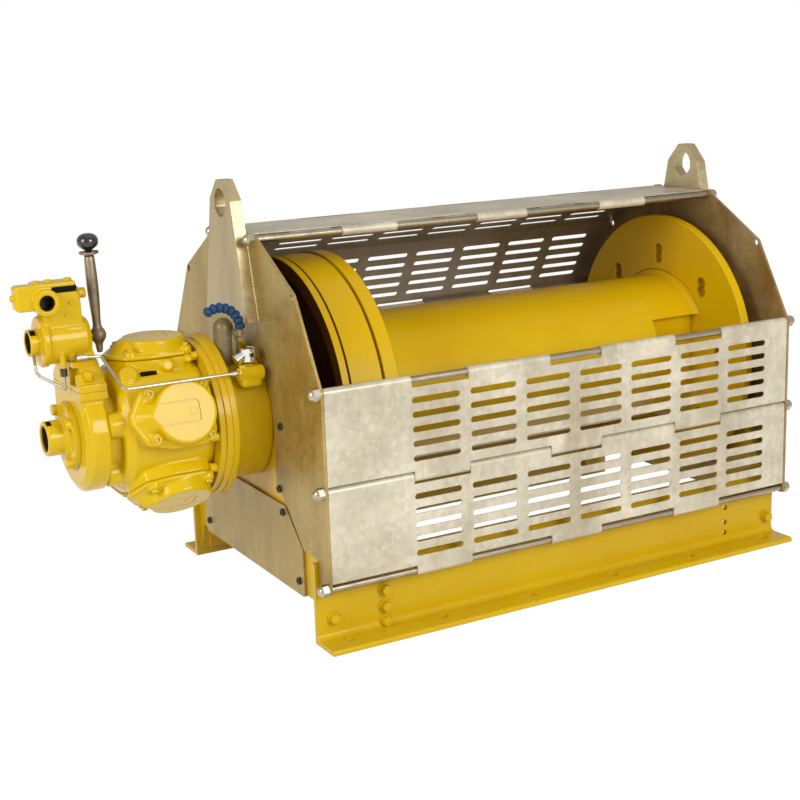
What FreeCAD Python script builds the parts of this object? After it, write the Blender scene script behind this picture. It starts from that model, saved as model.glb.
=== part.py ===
import FreeCAD
import Part
import math
import os

# Air winch in a galvanised rod guard, built in millimetres.
# X runs along the drum, the motor end at -X. The rope side is -Y. +Z is up.
# The origin is on the floor, midway between the four corner holes of the base.

# Guard: the top half of a regular twelve-sided ring around the drum axis
SIDE = 190.5
APOTHEM = SIDE / 2 / math.tan(math.radians(15))
AXIS_Z = 408.7
ROD_R = 7.0
SHEET = 2.5
FIT = 0.1
KNUCKLE_BORE = ROD_R + FIT
KNUCKLE_R = KNUCKLE_BORE + SHEET
PLATE_T = 6.0
BARREL_L = 872.2
FLANGE_L_T = 30.2
FLANGE_R_T = 21.3
BRAKE_SPACE = 176.0
BEARING_SPACE = 48.3
PLATE_OUT = (BRAKE_SPACE + FLANGE_L_T + BARREL_L + FLANGE_R_T + BEARING_SPACE) / 2
PLATE_IN = PLATE_OUT - PLATE_T
PLATE_EDGE = 10.0
PANEL_GAP = 0.5
PANEL_END = PLATE_IN - PANEL_GAP
EVEN_SHARE = 0.11
SEG_GAP = 1.0
SLOT_W = 106.0
SLOT_H = 12.0
SLOT_PITCH = 130.3
SLOT_BLANK = 191.6
SLOT_COLUMNS = 7
ROW_PITCH = 28.65
NUT_T = 12.0
NUT_AF = 22.0

# Base rails: web, outward flange and holes
RAIL_OVER = 7.5
RAIL_HALF = PLATE_OUT + RAIL_OVER
RAIL_WEB_OUT = 318.0
RAIL_WEB_T = 10.0
RAIL_WEB_IN = RAIL_WEB_OUT - RAIL_WEB_T
RAIL_FLANGE = 67.2
RAIL_OUT = RAIL_WEB_OUT + RAIL_FLANGE
RAIL_H = 165.0
RAIL_T = 10.0
RAIL_ROOT = 12.0
BASE_HOLE_R = 11.0
BASE_HOLE_IN = 28.0
BASE_HOLE_END = 53.5
BASE_HOLES = 6
WEB_HOLE_R = 6.0
WEB_HOLE_END = 139.5
WEB_HOLE_X = RAIL_HALF - WEB_HOLE_END

# Uprights: yellow plates that carry the gear case and the drum bearing
UP_T = 15.0
UP_IN = PLATE_IN - UP_T
UP_FOOT = 78.0
UP_CROWN = 215.0
FOOT_L = 45.0
FOOT_T = 12.0

# Guard end plates and the cover plate under the motor
CUT_GAP = 8.0
PLATE_FOOT = 174.0
COVER_FOOT = 75.0
COVER_HALF = 252.0
COVER_TOP = 175.0
TAB_GAP = 5.0

# Lifting lugs
LUG_T = 25.0
LUG_FOOT_HALF = 105.0
LUG_NECK_HALF = 51.0
LUG_TOP_HALF = 14.0
LUG_FOOT_Z = AXIS_Z + 194.3
LUG_TOP_Z = AXIS_Z + 467.3
LUG_NECK_DROP = 39.0
LUG_HOLE_R = 28.0
LUG_HOLE_H = 44.5
LUG_HOLE_TOP = 17.0

# Drum
FLANGE_R = 305.0
BARREL_R = 165.0
BARREL_WALL = 25.0
FLANGE_L_OUT = BRAKE_SPACE - PLATE_OUT
FLANGE_L_IN = FLANGE_L_OUT + FLANGE_L_T
FLANGE_R_IN = FLANGE_L_IN + BARREL_L
FLANGE_R_OUT = FLANGE_R_IN + FLANGE_R_T
POCKET_L = 128.4
FLARE_R = 14.0
POCKET_DEEP = 47.0
POCKET_FLOOR = 8.0
KEY_R = 14.0
KEY_HALF = 9.3
KEY_PITCH_R = 216.0
BRAKE_GAP = 5.2
BAND_ROOM = 15.0
RIM_R = FLANGE_R - BAND_ROOM
RIM_WALL = 16.0
BAND_W = 66.8
BAND_T = 6.8
LIP_W = 14.4
LIP_R = FLANGE_R - 2.0
BAND_X1 = FLANGE_L_OUT - BRAKE_GAP
BAND_X0 = BAND_X1 - BAND_W
RIM_END = BAND_X0 - BRAKE_GAP - LIP_W
BAND_IN = RIM_R + BRAKE_GAP
BAND_OUT = BAND_IN + BAND_T
NECK_R = 45.0
STUB_R = 40.0
RUN_FIT = 0.08
END_GAP = 9.0

# Gear case and motor, all on the drum axis
CASE_R = 137.0
CASE_L = 80.0
CASE_END = -(PLATE_OUT + CASE_L)
NOSE_R = 120.0
MFLANGE_R = 166.0
MFLANGE_L = 36.0
MFLANGE_END = CASE_END - MFLANGE_L
CRANK_R = 128.0
CRANK_L = 175.0
CRANK_END = MFLANGE_END - CRANK_L
HEAD_X = MFLANGE_END - 65.7
CYLINDERS = 5
BOSS_TOP = 139.0
HEAD_SEAT = 11.0
HEAD_TOP = 176.0
DISC_R = 54.0
DISC_X = HEAD_X - 5.0
PAD_HALF = 24.0
PAD_H = 2.0
BOLT_BOSS_R = 10.5
DIST_NECK_L = 27.0
DIST_L = 46.0
DIST_R = 113.0
DIST_X1 = CRANK_END - DIST_NECK_L
DIST_X0 = DIST_X1 - DIST_L
COVER_DISC_R = 68.0
COVER_DISC_T = 12.0
PORT_R = 34.5
PORT_BORE = 26.0
PORT_L = 52.0
PORT_END = DIST_X0 - PORT_L

# Control valve and its lever
FLANGE_Z = AXIS_Z + 82.3
FLANGE_LAYER = 15.0
SADDLE_HALF = 88.0
SADDLE_L = 54.0
SADDLE_X0 = DIST_X0
SADDLE_X1 = SADDLE_X0 + SADDLE_L
RISER_TOP = FLANGE_Z + 69.0
SPOOL_Z = RISER_TOP + 38.0
SPOOL_R = 45.0
SPOOL_L = 82.0
SPOOL_X1 = SADDLE_X1 - 6.0
SPOOL_X0 = SPOOL_X1 - SPOOL_L
SPOOL_FLANGE_R = 49.0
SPOOL_FLANGE_T = 13.0
SPOOL_PORT_R = 26.0
SPOOL_PORT_BORE = 21.0
SPOOL_PORT_L = 20.0
BLOCK_FRONT = 34.0
BLOCK_BACK = 14.0
LOBE_L = 56.0
LOBE_DEEP = 34.0
PED_HALF = 38.0
STEM_X = SADDLE_X0 - 13.0
STEM_Z = SPOOL_Z - 49.0
VALVE_RIGHT = SPOOL_X1 - 15.0
BLOCK_TOP = SPOOL_Z + 114.0
SUPPLY_X = SPOOL_X0
SUPPLY_Z = SPOOL_Z + 78.6
SUPPLY_BORE = 15.0
SUPPLY_R = 25.0
SUPPLY_OUT = 12.0
SUPPLY_DEEP = 40.0
SEAT_GAP = 0.3
LEVER_X = SPOOL_X1 + 23.0
HUB_R = 16.0
PIN_R = 8.0
ARM_LEAN = -1.8
ARM_L = 155.0
TUBE_R = 3.0

os.makedirs("parts", exist_ok=True)
V = FreeCAD.Vector


def box(x0, x1, y0, y1, z0, z1):
    return Part.makeBox(x1 - x0, y1 - y0, z1 - z0, V(x0, y0, z0))


def rod_x(x0, x1, r, y=0.0, z=AXIS_Z):
    return Part.makeCylinder(r, x1 - x0, V(x0, y, z), V(1, 0, 0))


def rod_y(y0, y1, r, x, z):
    return Part.makeCylinder(r, y1 - y0, V(x, y0, z), V(0, 1, 0))


def rod_z(z0, z1, r, x, y):
    return Part.makeCylinder(r, z1 - z0, V(x, y, z0), V(0, 0, 1))


def spun(points, z=AXIS_Z):
    # a turned piece about the X line at height z, from its outline in X and radius
    wire = Part.makePolygon([V(x, 0, z + r) for x, r in points + points[:1]])
    return Part.Face(wire).revolve(V(0, 0, z), V(1, 0, 0), 360)


def side_plate(points, x0, x1):
    # a flat plate across X from its outline in Y and Z
    wire = Part.makePolygon([V(x0, y, z) for y, z in points + points[:1]])
    return Part.Face(wire).extrude(V(x1 - x0, 0, 0))


def front_plate(points, y0, y1):
    # a flat plate across Y from its outline in X and Z
    wire = Part.makePolygon([V(x, y0, z) for x, z in points + points[:1]])
    return Part.Face(wire).extrude(V(0, y1 - y0, 0))


def top_plate(points, z0, z1):
    # a flat plate across Z from its outline in X and Y
    wire = Part.makePolygon([V(x, y, z0) for x, y in points + points[:1]])
    return Part.Face(wire).extrude(V(0, 0, z1 - z0))


def join(shapes):
    out = shapes[0]
    for s in shapes[1:]:
        out = out.fuse(s)
    return out.removeSplitter()


def cut(shape, tools):
    for t in tools:
        shape = shape.cut(t)
    return shape


def round_edges(shape, r, pick):
    edges = [e for e in shape.Edges if pick(e.BoundBox)]
    return shape.makeFillet(r, edges)


def upright_edge(b):
    return b.ZLength > 0.5 and b.XLength < 0.01 and b.YLength < 0.01


def along_x(b):
    return b.XLength > 0.5 and b.YLength < 0.01 and b.ZLength < 0.01


def turned(shape, deg):
    s = shape.copy()
    s.rotate(V(0, 0, AXIS_Z), V(1, 0, 0), deg)
    return s


def mirror_x(shape):
    return shape.mirror(V(0, 0, 0), V(1, 0, 0))


def mirrored(points):
    # an outline in one half, then the other half in the way back
    return points + [(-a, b) for a, b in reversed(points)]


def half_turn(shape):
    s = shape.copy()
    s.rotate(V(0, 0, 0), V(0, 0, 1), 180)
    return s


def save(name, shape):
    shape.exportStep("parts/" + name + ".step")
    print(name, len(shape.Solids), shape.isValid())


def corner(index, grow=0.0):
    # rod position, counted from the top front one round the front
    a = math.radians(15 + 30 * index)
    r = (APOTHEM + grow) / math.cos(math.radians(15))
    return (-r * math.sin(a), AXIS_Z + r * math.cos(a))


T1 = corner(0)
H1 = corner(1)
F1 = corner(2)
F2 = (F1[0], F1[1] - SIDE)
F3 = (F1[0], F2[1] - SIDE)
T2, H2, R1, R2, R3 = [(-y, z) for y, z in (T1, H1, F1, F2, F3)]
RODS = [T1, T2, F1, F2, F3, R1, R2, R3]

# hinge segments along the guard: four wide ones with three narrow ones between
EVEN_W = 2 * PLATE_OUT * EVEN_SHARE
ODD_W = (2 * PLATE_OUT - 3 * EVEN_W) / 4
SEG = [-PANEL_END]
for i in range(3):
    SEG.append(-PLATE_OUT + (i + 1) * ODD_W + i * EVEN_W)
    SEG.append(-PLATE_OUT + (i + 1) * (ODD_W + EVEN_W))
SEG.append(PANEL_END)


def segments(odd):
    picks = range(0, 7, 2) if odd else range(1, 7, 2)
    return [(SEG[i] + SEG_GAP / 2, SEG[i + 1] - SEG_GAP / 2) for i in picks]


def slot(x0, s, z0, z1):
    # one round-ended slot along X in a flat panel, centred at s
    r = SLOT_H / 2
    body = box(x0 + r, x0 + SLOT_W - r, s - r, s + r, z0, z1)
    return body.fuse(rod_z(z0, z1, r, x0 + r, s)).fuse(rod_z(z0, z1, r, x0 + SLOT_W - r, s))


def flat_panel(start_segs, end_segs, rows, s0=0.0, s1=SIDE):
    # lies in X and Y with Z outwards, from the first rod at s0 to the second at s1
    z0 = KNUCKLE_BORE
    z1 = KNUCKLE_R
    relief = KNUCKLE_R + 3
    a = s0 + (relief if start_segs is not None else 0)
    b = s1 - (relief if end_segs is not None else 0)
    parts = [box(-PANEL_END, PANEL_END, a, b, z0, z1)]
    bores = []
    for x0, x1 in start_segs or []:
        parts.append(box(x0, x1, s0, a + 1, z0, z1))
        parts.append(rod_x(x0, x1, KNUCKLE_R, s0, 0))
        bores.append(rod_x(x0 - 1, x1 + 1, KNUCKLE_BORE, s0, 0))
    for x0, x1 in end_segs or []:
        parts.append(box(x0, x1, b - 1, s1, z0, z1))
        parts.append(rod_x(x0, x1, KNUCKLE_R, s1, 0))
        bores.append(rod_x(x0 - 1, x1 + 1, KNUCKLE_BORE, s1, 0))
    panel = cut(join(parts), bores)
    mid = (s0 + s1) / 2
    first = SLOT_BLANK - PLATE_OUT
    tools = [slot(first + c * SLOT_PITCH, mid + r * ROW_PITCH, z0 - 5, z1 + 5)
             for r in rows for c in range(SLOT_COLUMNS)]
    if tools:
        panel = panel.cut(Part.makeCompound(tools))
    return panel


def place(panel, start, end):
    # stand a flat panel on the line from one rod to the next
    s = panel.copy()
    s.rotate(V(0, 0, 0), V(1, 0, 0), math.degrees(math.atan2(end[1] - start[1], end[0] - start[0])))
    s.translate(V(0, start[0], start[1]))
    return s


FIVE = [-2, -1, 0, 1, 2]
save("front_lower_guard", place(flat_panel(segments(False), segments(True), FIVE), F3, F2))
save("front_upper_guard", place(flat_panel(segments(False), segments(True), FIVE), F2, F1))
save("top_guard", place(flat_panel(segments(False), segments(True), []), T1, T2))
bend = KNUCKLE_R * math.tan(math.radians(15))
slope_a = place(flat_panel(segments(False), None, FIVE, 0, SIDE + bend), T2, H2)
slope_b = flat_panel(None, segments(True), FIVE, -bend, SIDE)
slope_b = place(slope_b, H2, R1)
save("rear_upper_guard", join([slope_a, slope_b]))
save("rear_middle_guard", place(flat_panel(segments(False), segments(True), FIVE), R1, R2))
save("rear_lower_guard", place(flat_panel(segments(False), segments(True), FIVE), R2, R3))

# guard rods and their domed nuts
ROD_HALF = PLATE_OUT + NUT_T
save("guard_rods", Part.makeCompound([rod_x(-ROD_HALF, ROD_HALF, ROD_R, y, z) for y, z in RODS]))


def cap_nut(y, z, side):
    r = NUT_AF / math.sqrt(3)
    six = [(y + r * math.cos(math.radians(60 * k)), z + r * math.sin(math.radians(60 * k)))
           for k in range(6)]
    base = PLATE_OUT + NUT_T - 2
    dome = Part.makeSphere(NUT_AF / 2, V(base, y, z)).common(rod_x(base, base + NUT_AF, NUT_AF, y, z))
    nut = join([side_plate(six, PLATE_OUT, PLATE_OUT + NUT_T), dome])
    nut = nut.cut(rod_x(PLATE_OUT - 1, ROD_HALF + 0.5, KNUCKLE_BORE, y, z))
    return nut if side > 0 else mirror_x(nut)


save("rod_cap_nuts", Part.makeCompound([cap_nut(y, z, s) for y, z in RODS for s in (-1, 1)]))

# guard end plates: round cut-out for the gear case, splayed open to the foot
U_HALF = CASE_R + CUT_GAP
U_FOOT = PLATE_FOOT + 108.0
plate_half = [corner(k, PLATE_EDGE) for k in range(3)]
foot_y = plate_half[-1][0]
tab_in = -(RAIL_WEB_OUT + TAB_GAP)
plate_half += [(foot_y, F3[1] - PLATE_EDGE), (tab_in, F3[1] - PLATE_EDGE), (tab_in, PLATE_FOOT)]
plate_half += [(-COVER_HALF - 7, PLATE_FOOT), (-U_HALF - 44, PLATE_FOOT + 74), (-U_HALF, U_FOOT)]
plate_half += [(-U_HALF, AXIS_Z)]
plate = side_plate(mirrored(plate_half), PLATE_IN, PLATE_OUT)
plate = round_edges(plate, 8.0, lambda b: along_x(b) and (abs(b.YMin) > APOTHEM or b.ZMin > T1[1]))
plate = plate.cut(rod_x(PLATE_IN - 1, PLATE_OUT + 1, U_HALF))
plate = cut(plate, [rod_x(PLATE_IN - 1, PLATE_OUT + 1, KNUCKLE_BORE, y, z) for y, z in RODS + [H1, H2]])
save("right_guard_plate", plate)
save("left_guard_plate", mirror_x(plate))

# lifting lugs on the outer faces, tapered, with an arched shackle hole
lug_half = [(-LUG_FOOT_HALF, LUG_FOOT_Z), (-LUG_NECK_HALF, LUG_TOP_Z - LUG_NECK_DROP), (-LUG_TOP_HALF, LUG_TOP_Z)]
lug = side_plate(mirrored(lug_half), PLATE_OUT, PLATE_OUT + LUG_T)
lug = round_edges(lug, 7.0, lambda b: along_x(b) and b.ZMin > LUG_FOOT_Z + 10)
arch_z = LUG_TOP_Z - LUG_HOLE_TOP - LUG_HOLE_R
low_z = arch_z - (LUG_HOLE_H - LUG_HOLE_R)
arch = rod_x(PLATE_OUT - 1, PLATE_OUT + LUG_T + 1, LUG_HOLE_R, 0, arch_z)
sill = box(PLATE_OUT - 1, PLATE_OUT + LUG_T + 1, -LUG_HOLE_R, LUG_HOLE_R, low_z, arch_z)
sill = round_edges(sill, 9.0, lambda b: along_x(b) and b.ZMax < low_z + 0.1)
lug = lug.cut(arch.fuse(sill))
save("right_lifting_lug", lug)
save("left_lifting_lug", mirror_x(lug))

# base rails: the rear one is the front one turned half round
section = [(-RAIL_OUT, 0), (-RAIL_OUT, RAIL_T), (-RAIL_WEB_OUT, RAIL_T), (-RAIL_WEB_OUT, RAIL_H),
           (-RAIL_WEB_IN, RAIL_H), (-RAIL_WEB_IN, 0)]
rail = side_plate(section, -RAIL_HALF, RAIL_HALF)
rail = round_edges(rail, RAIL_ROOT, lambda b: along_x(b) and abs(b.YMin + RAIL_WEB_OUT) < 0.01
                   and abs(b.ZMin - RAIL_T) < 0.01)
rail = round_edges(rail, RAIL_T * 0.5, lambda b: along_x(b) and abs(b.YMin + RAIL_OUT) < 0.01
                   and abs(b.ZMin - RAIL_T) < 0.01)
hole_pitch = 2 * (RAIL_HALF - BASE_HOLE_END) / (BASE_HOLES - 1)
for k in range(BASE_HOLES):
    x = hole_pitch * (k - (BASE_HOLES - 1) / 2)
    rail = rail.cut(rod_z(-1, RAIL_T + 1, BASE_HOLE_R, x, -RAIL_WEB_OUT - BASE_HOLE_IN))
for z in (29.8, 54.5, 88.3):
    rail = rail.cut(rod_y(-RAIL_WEB_OUT - 1, -RAIL_WEB_IN + 1, WEB_HOLE_R, WEB_HOLE_X, z))
save("front_base_rail", rail)
save("rear_base_rail", half_turn(rail))

# uprights between the rails, with a bolting foot along each web
HOUSING_R = 70.0


def upright(bore):
    lower = [(-RAIL_WEB_IN + 18, UP_FOOT), (-RAIL_WEB_IN, 12.0), (-RAIL_WEB_IN, RAIL_H)]
    lower.append((-UP_CROWN * math.cos(math.radians(20)), AXIS_Z - 30.0))
    body = side_plate(mirrored(lower), UP_IN, PLATE_IN)
    crown = rod_x(UP_IN, PLATE_IN, UP_CROWN)
    feet = [box(UP_IN - FOOT_L, UP_IN, min(a, b), max(a, b), 18, RAIL_H - 15)
            for a, b in ((-RAIL_WEB_IN, -RAIL_WEB_IN + FOOT_T), (RAIL_WEB_IN, RAIL_WEB_IN - FOOT_T))]
    return join([body, crown] + feet).cut(rod_x(UP_IN - 1, PLATE_IN + 1, bore))


save("left_upright", mirror_x(upright(NOSE_R + RUN_FIT)))
save("right_upright", upright(HOUSING_R + RUN_FIT))

# cover plate under the motor, in the plane of the guard plate
cover_half = [(-COVER_HALF, COVER_FOOT), (-COVER_HALF, COVER_TOP), (-U_HALF - 34, COVER_TOP + 69)]
cover = side_plate(mirrored(cover_half), -PLATE_OUT, -PLATE_IN)
save("lower_cover", round_edges(cover, 6.0, lambda b: along_x(b) and b.ZMin < COVER_TOP + 1))

# drum: barrel with the rope anchor pocket, two flanges, brake drum
barrel = rod_x(FLANGE_L_IN, FLANGE_R_IN, BARREL_R)
barrel = barrel.cut(rod_x(FLANGE_L_IN - 1, FLANGE_R_IN + 1, BARREL_R - BARREL_WALL))
pocket_x = FLANGE_R_IN - POCKET_L
pocket_y = -(BARREL_R - POCKET_DEEP)
pocket_top = AXIS_Z + BARREL_R * 0.545
pocket_low = AXIS_Z - BARREL_R * 0.48


def flare(end, toward):
    # the hollow weld round the barrel where it meets a flange
    start = end - toward * FLARE_R
    low = BARREL_R - 1
    arc = Part.Arc(V(start, 0, AXIS_Z + BARREL_R), V(start + toward * FLARE_R * math.sin(math.pi / 4), 0,
                   AXIS_Z + BARREL_R + FLARE_R * (1 - math.cos(math.pi / 4))),
                   V(end, 0, AXIS_Z + BARREL_R + FLARE_R)).toShape()
    sides = [(end, BARREL_R + FLARE_R), (end, low), (start, low), (start, BARREL_R)]
    lines = [Part.makeLine(V(a[0], 0, AXIS_Z + a[1]), V(b[0], 0, AXIS_Z + b[1])) for a, b in zip(sides, sides[1:])]
    return Part.Face(Part.Wire([arc] + lines)).revolve(V(0, 0, AXIS_Z), V(1, 0, 0), 360)


barrel = join([barrel, flare(FLANGE_R_IN, 1), flare(FLANGE_L_IN, -1)])
barrel = barrel.cut(box(pocket_x, FLANGE_R_IN + 1, -BARREL_R - FLARE_R - 5, pocket_y, pocket_low, pocket_top))
floor = box(pocket_x - POCKET_FLOOR, FLANGE_R_IN, pocket_y, pocket_y + POCKET_FLOOR,
            pocket_low - POCKET_FLOOR, pocket_top + POCKET_FLOOR)
floor = floor.common(rod_x(pocket_x - POCKET_FLOOR, FLANGE_R_IN, BARREL_R - 2))
save("drum_barrel", join([barrel, floor]))


def kidney():
    # an upright key-shaped slot: two rounds joined by a narrower waist
    a = rod_x(FLANGE_R_IN - 1, FLANGE_R_OUT + 1, KEY_R, 0, AXIS_Z + KEY_HALF)
    b = rod_x(FLANGE_R_IN - 1, FLANGE_R_OUT + 1, KEY_R, 0, AXIS_Z - KEY_HALF)
    w = KEY_R * 0.72
    return a.fuse(b).fuse(box(FLANGE_R_IN - 1, FLANGE_R_OUT + 1, -w, w, AXIS_Z - KEY_HALF, AXIS_Z + KEY_HALF))


BEVEL = 2.0
right_flange = spun([(FLANGE_R_IN, 0), (FLANGE_R_IN, FLANGE_R - BEVEL), (FLANGE_R_IN + BEVEL, FLANGE_R),
                     (FLANGE_R_OUT - BEVEL, FLANGE_R), (FLANGE_R_OUT, FLANGE_R - BEVEL), (FLANGE_R_OUT, 0)])
for k in range(8):
    key = kidney()
    a = math.radians(45 * k)
    key.translate(V(0, -KEY_PITCH_R * math.cos(a), KEY_PITCH_R * math.sin(a)))
    right_flange = right_flange.cut(key)
HOUSING_END = PLATE_OUT + 38.0
right_flange = join([right_flange, rod_x(FLANGE_R_OUT - 1, HOUSING_END - 12, STUB_R)])
save("drum_right_flange", right_flange)

save("drum_left_flange", spun([(FLANGE_L_OUT, 0), (FLANGE_L_OUT, FLANGE_R), (FLANGE_L_IN - BEVEL, FLANGE_R),
                               (FLANGE_L_IN, FLANGE_R - BEVEL), (FLANGE_L_IN, 0)]))

WEB_T = 20.0
NECK_END = -(UP_IN - 1)
rim = spun([(NECK_END, 0), (NECK_END, NECK_R), (FLANGE_L_OUT - WEB_T, NECK_R),
            (FLANGE_L_OUT - WEB_T, RIM_R - RIM_WALL), (RIM_END, RIM_R - RIM_WALL), (RIM_END, LIP_R),
            (RIM_END + LIP_W, LIP_R), (RIM_END + LIP_W, RIM_R), (FLANGE_L_OUT, RIM_R), (FLANGE_L_OUT, 0)])
save("brake_drum", rim)

# brake band and its anchor on the front rail
band = rod_x(BAND_X0, BAND_X1, BAND_OUT).cut(rod_x(BAND_X0 - 1, BAND_X1 + 1, BAND_IN))
save("brake_band", band)
band_mid = (BAND_X0 + BAND_X1) / 2
web_face = -RAIL_WEB_IN
ANCHOR_T = 10.0
ANCHOR_FOOT = 8.0
ANCHOR_TOP = AXIS_Z - FLANGE_R + 1.3
arm_half = ANCHOR_T * 1.4
arm_low = (-BAND_OUT * math.sin(math.radians(44)), AXIS_Z - BAND_OUT * math.cos(math.radians(44)))
arm_high = (-BAND_OUT * math.sin(math.radians(60)), AXIS_Z - BAND_OUT * math.cos(math.radians(60)))
arm = side_plate([(web_face + ANCHOR_T, ANCHOR_FOOT + 7), (web_face + ANCHOR_T, ANCHOR_TOP),
                  (arm_high[0], arm_high[1] + 12), (arm_low[0] + 12, arm_low[1] + 4)], band_mid - arm_half, band_mid + arm_half)
arm = arm.cut(rod_x(BAND_X0, BAND_X1, BAND_OUT))
foot = box(BAND_X0 + 2, BAND_X1 - 2, web_face, web_face + ANCHOR_T, ANCHOR_FOOT, ANCHOR_TOP)
save("band_anchor", join([arm, foot]))

# gear case: nose inside the upright, body outside the guard
NOSE_END = RIM_END - 20.0
case = spun([(CASE_END, 0), (CASE_END, CASE_R), (-PLATE_IN - 4, CASE_R), (-PLATE_IN, CASE_R - 4),
             (-PLATE_IN, NOSE_R), (NOSE_END, NOSE_R), (NOSE_END, 0)])
case = case.cut(rod_x(NECK_END - END_GAP, NOSE_END + 1, NECK_R + RUN_FIT))
save("gear_case", case)

# drum bearing at the other end, through the upright
HOUSING_IN = FLANGE_R_OUT + END_GAP
HOUSING_FLANGE_R = 112.0
housing = spun([(HOUSING_IN, 0), (HOUSING_IN, HOUSING_R), (PLATE_IN, HOUSING_R), (PLATE_IN, HOUSING_FLANGE_R),
                (PLATE_OUT + 14, HOUSING_FLANGE_R), (PLATE_OUT + 18, HOUSING_R), (HOUSING_END, HOUSING_R - 5),
                (HOUSING_END, 0)])
housing = housing.cut(rod_x(HOUSING_IN - 1, HOUSING_END - 8, STUB_R + RUN_FIT))
save("bearing_housing", housing)

# motor flange: three stepped rings
step = MFLANGE_L / 3
save("motor_flange", spun([(MFLANGE_END, 0), (MFLANGE_END, MFLANGE_R - 9), (MFLANGE_END + step, MFLANGE_R - 8),
                           (MFLANGE_END + step, MFLANGE_R - 4), (MFLANGE_END + 2 * step, MFLANGE_R - 3),
                           (MFLANGE_END + 2 * step, MFLANGE_R), (CASE_END, MFLANGE_R), (CASE_END, 0)]))

# motor: crankcase drum with a five-fold ring of cylinder blocks
HEAD_TIP = 106.0
HEAD_OUTLINE = [(-HEAD_TIP, 8), (-80, 55), (-30, 67), (36, 67), (55, 59), (62, 40)]


def head_shape(shrink, r0, r1):
    pts = [(HEAD_X + x * (1 - shrink / 110), t * (1 - shrink / 70)) for x, t in HEAD_OUTLINE]
    return top_plate(pts + [(x, -t) for x, t in reversed(pts)], AXIS_Z + r0, AXIS_Z + r1)


crank = [spun([(CRANK_END, 0), (CRANK_END, CRANK_R - 14), (CRANK_END + 14, CRANK_R), (MFLANGE_END, CRANK_R),
               (MFLANGE_END, 0)])]
block = head_shape(5, CRANK_R * 0.5, BOSS_TOP)
block = round_edges(block, 9.0, upright_edge)
for k in range(CYLINDERS):
    crank.append(turned(block, 360 * k / CYLINDERS))
    passage = rod_x(DIST_X1, CRANK_END + 20, 25.0, 0, AXIS_Z + 92)
    crank.append(turned(passage, 360 * k / CYLINDERS))
crank.append(rod_x(DIST_X1, CRANK_END + 1, 88.0))
under_saddle = box(DIST_X1 - 1, SADDLE_X1 + SEAT_GAP, -SADDLE_HALF - 1, SADDLE_HALF + 1,
                   FLANGE_Z - SEAT_GAP, RISER_TOP)
save("motor_case", join(crank).cut(under_saddle))


def head():
    base = head_shape(0, BOSS_TOP, BOSS_TOP + HEAD_SEAT)
    base = round_edges(base, 9.0, upright_edge)
    seat = AXIS_Z + BOSS_TOP + HEAD_SEAT
    top = AXIS_Z + HEAD_TOP - PAD_H
    dome = Part.makeCone(DISC_R + 6, DISC_R, top - seat, V(DISC_X, 0, seat), V(0, 0, 1))
    x_tip = HEAD_X - HEAD_TIP + 12
    x_pad = DISC_X + DISC_R * 0.52
    ridge = front_plate([(x_tip, seat), (x_tip, seat + 3), (DISC_X - DISC_R + 2, top), (x_pad, top),
                         (x_pad, seat)], -PAD_HALF - 3, PAD_HALF + 3)
    ridge = round_edges(ridge, 5.0, lambda b: b.YLength < 0.01 and b.XLength > 20 and b.ZMax > seat + 2)
    pad = box(DISC_X - DISC_R + 4, x_pad, -PAD_HALF, PAD_HALF, top, top + PAD_H)
    pad = round_edges(pad, 8.0, lambda b: upright_edge(b) and b.XMin > DISC_X)
    bosses = [rod_z(seat, seat + 8, BOLT_BOSS_R, HEAD_X + x, t) for x in (-71, 40) for t in (-46, 46)]
    return join([base, dome, ridge, pad] + bosses)


save("cylinder_heads", Part.makeCompound([turned(head(), 360 * k / CYLINDERS) for k in range(CYLINDERS)]))

# valve distributor: dished housing with the lower half of the saddle flange
RIM_ROUND = 8.0
dist = spun([(DIST_X0, 0), (DIST_X0, DIST_R - RIM_ROUND * 2), (DIST_X0 + RIM_ROUND, DIST_R - 2),
             (DIST_X0 + RIM_ROUND * 1.6, DIST_R), (DIST_X1 - 3, DIST_R), (DIST_X1, DIST_R - 3), (DIST_X1, 0)])
dist = dist.cut(box(DIST_X0 - 1, DIST_X1 + 1, -DIST_R, DIST_R, FLANGE_Z + FLANGE_LAYER, RISER_TOP))
saddle = box(SADDLE_X0, DIST_X1, -SADDLE_HALF + 4, SADDLE_HALF - 4, AXIS_Z, FLANGE_Z + 1)
saddle_flange = box(SADDLE_X0, SADDLE_X1, -SADDLE_HALF, SADDLE_HALF, FLANGE_Z, FLANGE_Z + FLANGE_LAYER)
save("distributor_housing", join([dist, saddle, saddle_flange]))

# exhaust port on a bolted cover disc with four lug bosses
LUG_BOSS_R = 11.0
port = spun([(DIST_X0, 0), (DIST_X0, COVER_DISC_R), (DIST_X0 - COVER_DISC_T, COVER_DISC_R - 3),
             (DIST_X0 - COVER_DISC_T, PORT_R + 12), (DIST_X0 - COVER_DISC_T - 8, PORT_R + 4),
             (DIST_X0 - COVER_DISC_T - 8, PORT_R), (PORT_END + 2, PORT_R), (PORT_END, PORT_R - 2), (PORT_END, 0)])
for k in range(4):
    a = math.radians(55 + 90 * k)
    y = (COVER_DISC_R - LUG_BOSS_R) * math.cos(a)
    z = AXIS_Z + (COVER_DISC_R - LUG_BOSS_R) * math.sin(a)
    port = port.fuse(rod_x(DIST_X0 - COVER_DISC_T - 12, DIST_X0 - COVER_DISC_T + 1, LUG_BOSS_R, y, z))
port = port.removeSplitter().cut(rod_x(PORT_END - 1, DIST_X0 - 2, PORT_BORE))
save("exhaust_port", port)

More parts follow.
